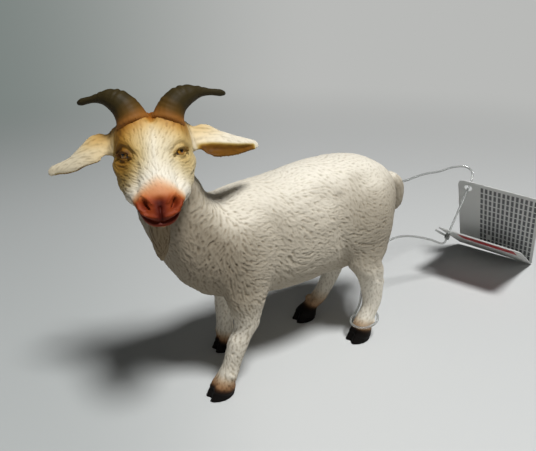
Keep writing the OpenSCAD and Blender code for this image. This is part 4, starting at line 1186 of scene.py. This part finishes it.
def background_tints(tree, way, side):
    """How far right a direction points, 0 to 1, and the background's colour there; way may point backwards."""
    sideways = add(tree, "ShaderNodeVectorMath", {"operation": "DOT_PRODUCT"}, i0=way, i1=tuple(side))
    across = add(tree, "ShaderNodeMapRange", {"interpolation_type": "SMOOTHSTEP"},
                 Value=sideways.outputs["Value"], From_Min=-0.5, From_Max=0.1)
    # painted shade: the background darkens to the left, and is greener there
    tint = add(tree, "ShaderNodeMix", {"data_type": "RGBA"},
               i0=across.outputs[0], i6=colour("#7A827F"), i7=colour("#B9BAB8"))
    return across.outputs[0], tint.outputs[2]


def matt_floor():
    """Paper that takes the shadows near the goat and turns into the plain background further off."""
    m, shader = material("matt backdrop paper, pale grey", Roughness=0.9)
    tree = m.node_tree
    ray = add(tree, "ShaderNodeLightPath")
    paper = add(tree, "ShaderNodeMix", {"data_type": "RGBA"}, i0=ray.outputs["Is Camera Ray"], i6=colour("#BABAB8"))
    tree.links.new(paper.outputs[2], shader.inputs["Base Color"])
    place = add(tree, "ShaderNodeTexCoord")
    from_camera = add(tree, "ShaderNodeVectorMath", {"operation": "SUBTRACT"},
                      i0=place.outputs["Object"], i1=(0.121, -0.074, 0))
    far = add(tree, "ShaderNodeVectorMath", {"operation": "LENGTH"}, i0=from_camera.outputs[0])
    way = add(tree, "ShaderNodeVectorMath", {"operation": "NORMALIZE"}, i0=from_camera.outputs[0])
    across, tint = background_tints(tree, way.outputs[0], TO_THE_RIGHT)
    # painted shade: as the camera sees it, the near paper is darker to the left
    near_paper = add(tree, "ShaderNodeMix", {"data_type": "RGBA"},
                     i0=across, i6=colour("#BEC2C1"), i7=colour("#D6D8D7"))
    tree.links.new(near_paper.outputs[2], paper.inputs[7])
    glow = add(tree, "ShaderNodeEmission", Color=tint)
    share = add(tree, "ShaderNodeMapRange", {"interpolation_type": "SMOOTHSTEP"},
                Value=far.outputs["Value"], From_Min=0.26, From_Max=0.62).outputs[0]
    seen = ray.outputs["Is Camera Ray"]
    for kind in ("Is Glossy Ray", "Is Transmission Ray"):
        seen = add(tree, "ShaderNodeMath", {"operation": "MAXIMUM"}, i0=seen, i1=ray.outputs[kind]).outputs[0]
    share = add(tree, "ShaderNodeMath", {"operation": "MULTIPLY"}, i0=share, i1=seen).outputs[0]
    both_ways = add(tree, "ShaderNodeMixShader", i0=share, i1=shader.outputs[0], i2=glow.outputs[0])
    tree.links.new(both_ways.outputs[0], tree.nodes["Material Output"].inputs["Surface"])
    return m


floor_mesh = bpy.data.meshes.new("floor")
floor_mesh.from_pydata([(-6, -6, 0), (6, -6, 0), (6, 6, 0), (-6, 6, 0)], [], [(0, 1, 2, 3)])
floor = bpy.data.objects.new("floor", floor_mesh)
floor_mesh.materials.append(matt_floor())
scene.collection.objects.link(floor)
print("floor", floor.dimensions.x, "m wide")

# %% Lights and sky
def area_light(name, place, aim, size, power):
    data = bpy.data.lights.new(name, "AREA")
    data.shape, data.size, data.energy = "DISK", size, power
    obj = bpy.data.objects.new(name, data)
    obj.location = place
    obj.rotation_euler = (Vector(place) - Vector(aim)).to_track_quat("Z", "Y").to_euler()
    scene.collection.objects.link(obj)


area_light("key", (0.26, 0.03, 0.69), (0, 0.01, 0.04), 0.17, 5.0)
area_light("front fill", (0.5, -0.35, 0.35), (0, 0, 0.05), 0.5, 0.22)
world = bpy.data.worlds.new("sky")
world.use_nodes = True
sky = world.node_tree.nodes["Background"]
sky.inputs["Color"].default_value = colour("#E6E8E8")
sky.inputs["Strength"].default_value = 0.055
looking = add(world.node_tree, "ShaderNodeNewGeometry")
_, tint = background_tints(world.node_tree, looking.outputs["Incoming"], -TO_THE_RIGHT)
beyond = add(world.node_tree, "ShaderNodeBackground", Color=tint)      # seen above the floor's far edge
seen = add(world.node_tree, "ShaderNodeLightPath")
both_skies = add(world.node_tree, "ShaderNodeMixShader",
                 i0=seen.outputs["Is Camera Ray"], i1=sky.outputs[0], i2=beyond.outputs[0])
world.node_tree.links.new(both_skies.outputs[0], world.node_tree.nodes["World Output"].inputs["Surface"])
scene.world = world
scene.view_settings.view_transform = "Standard"
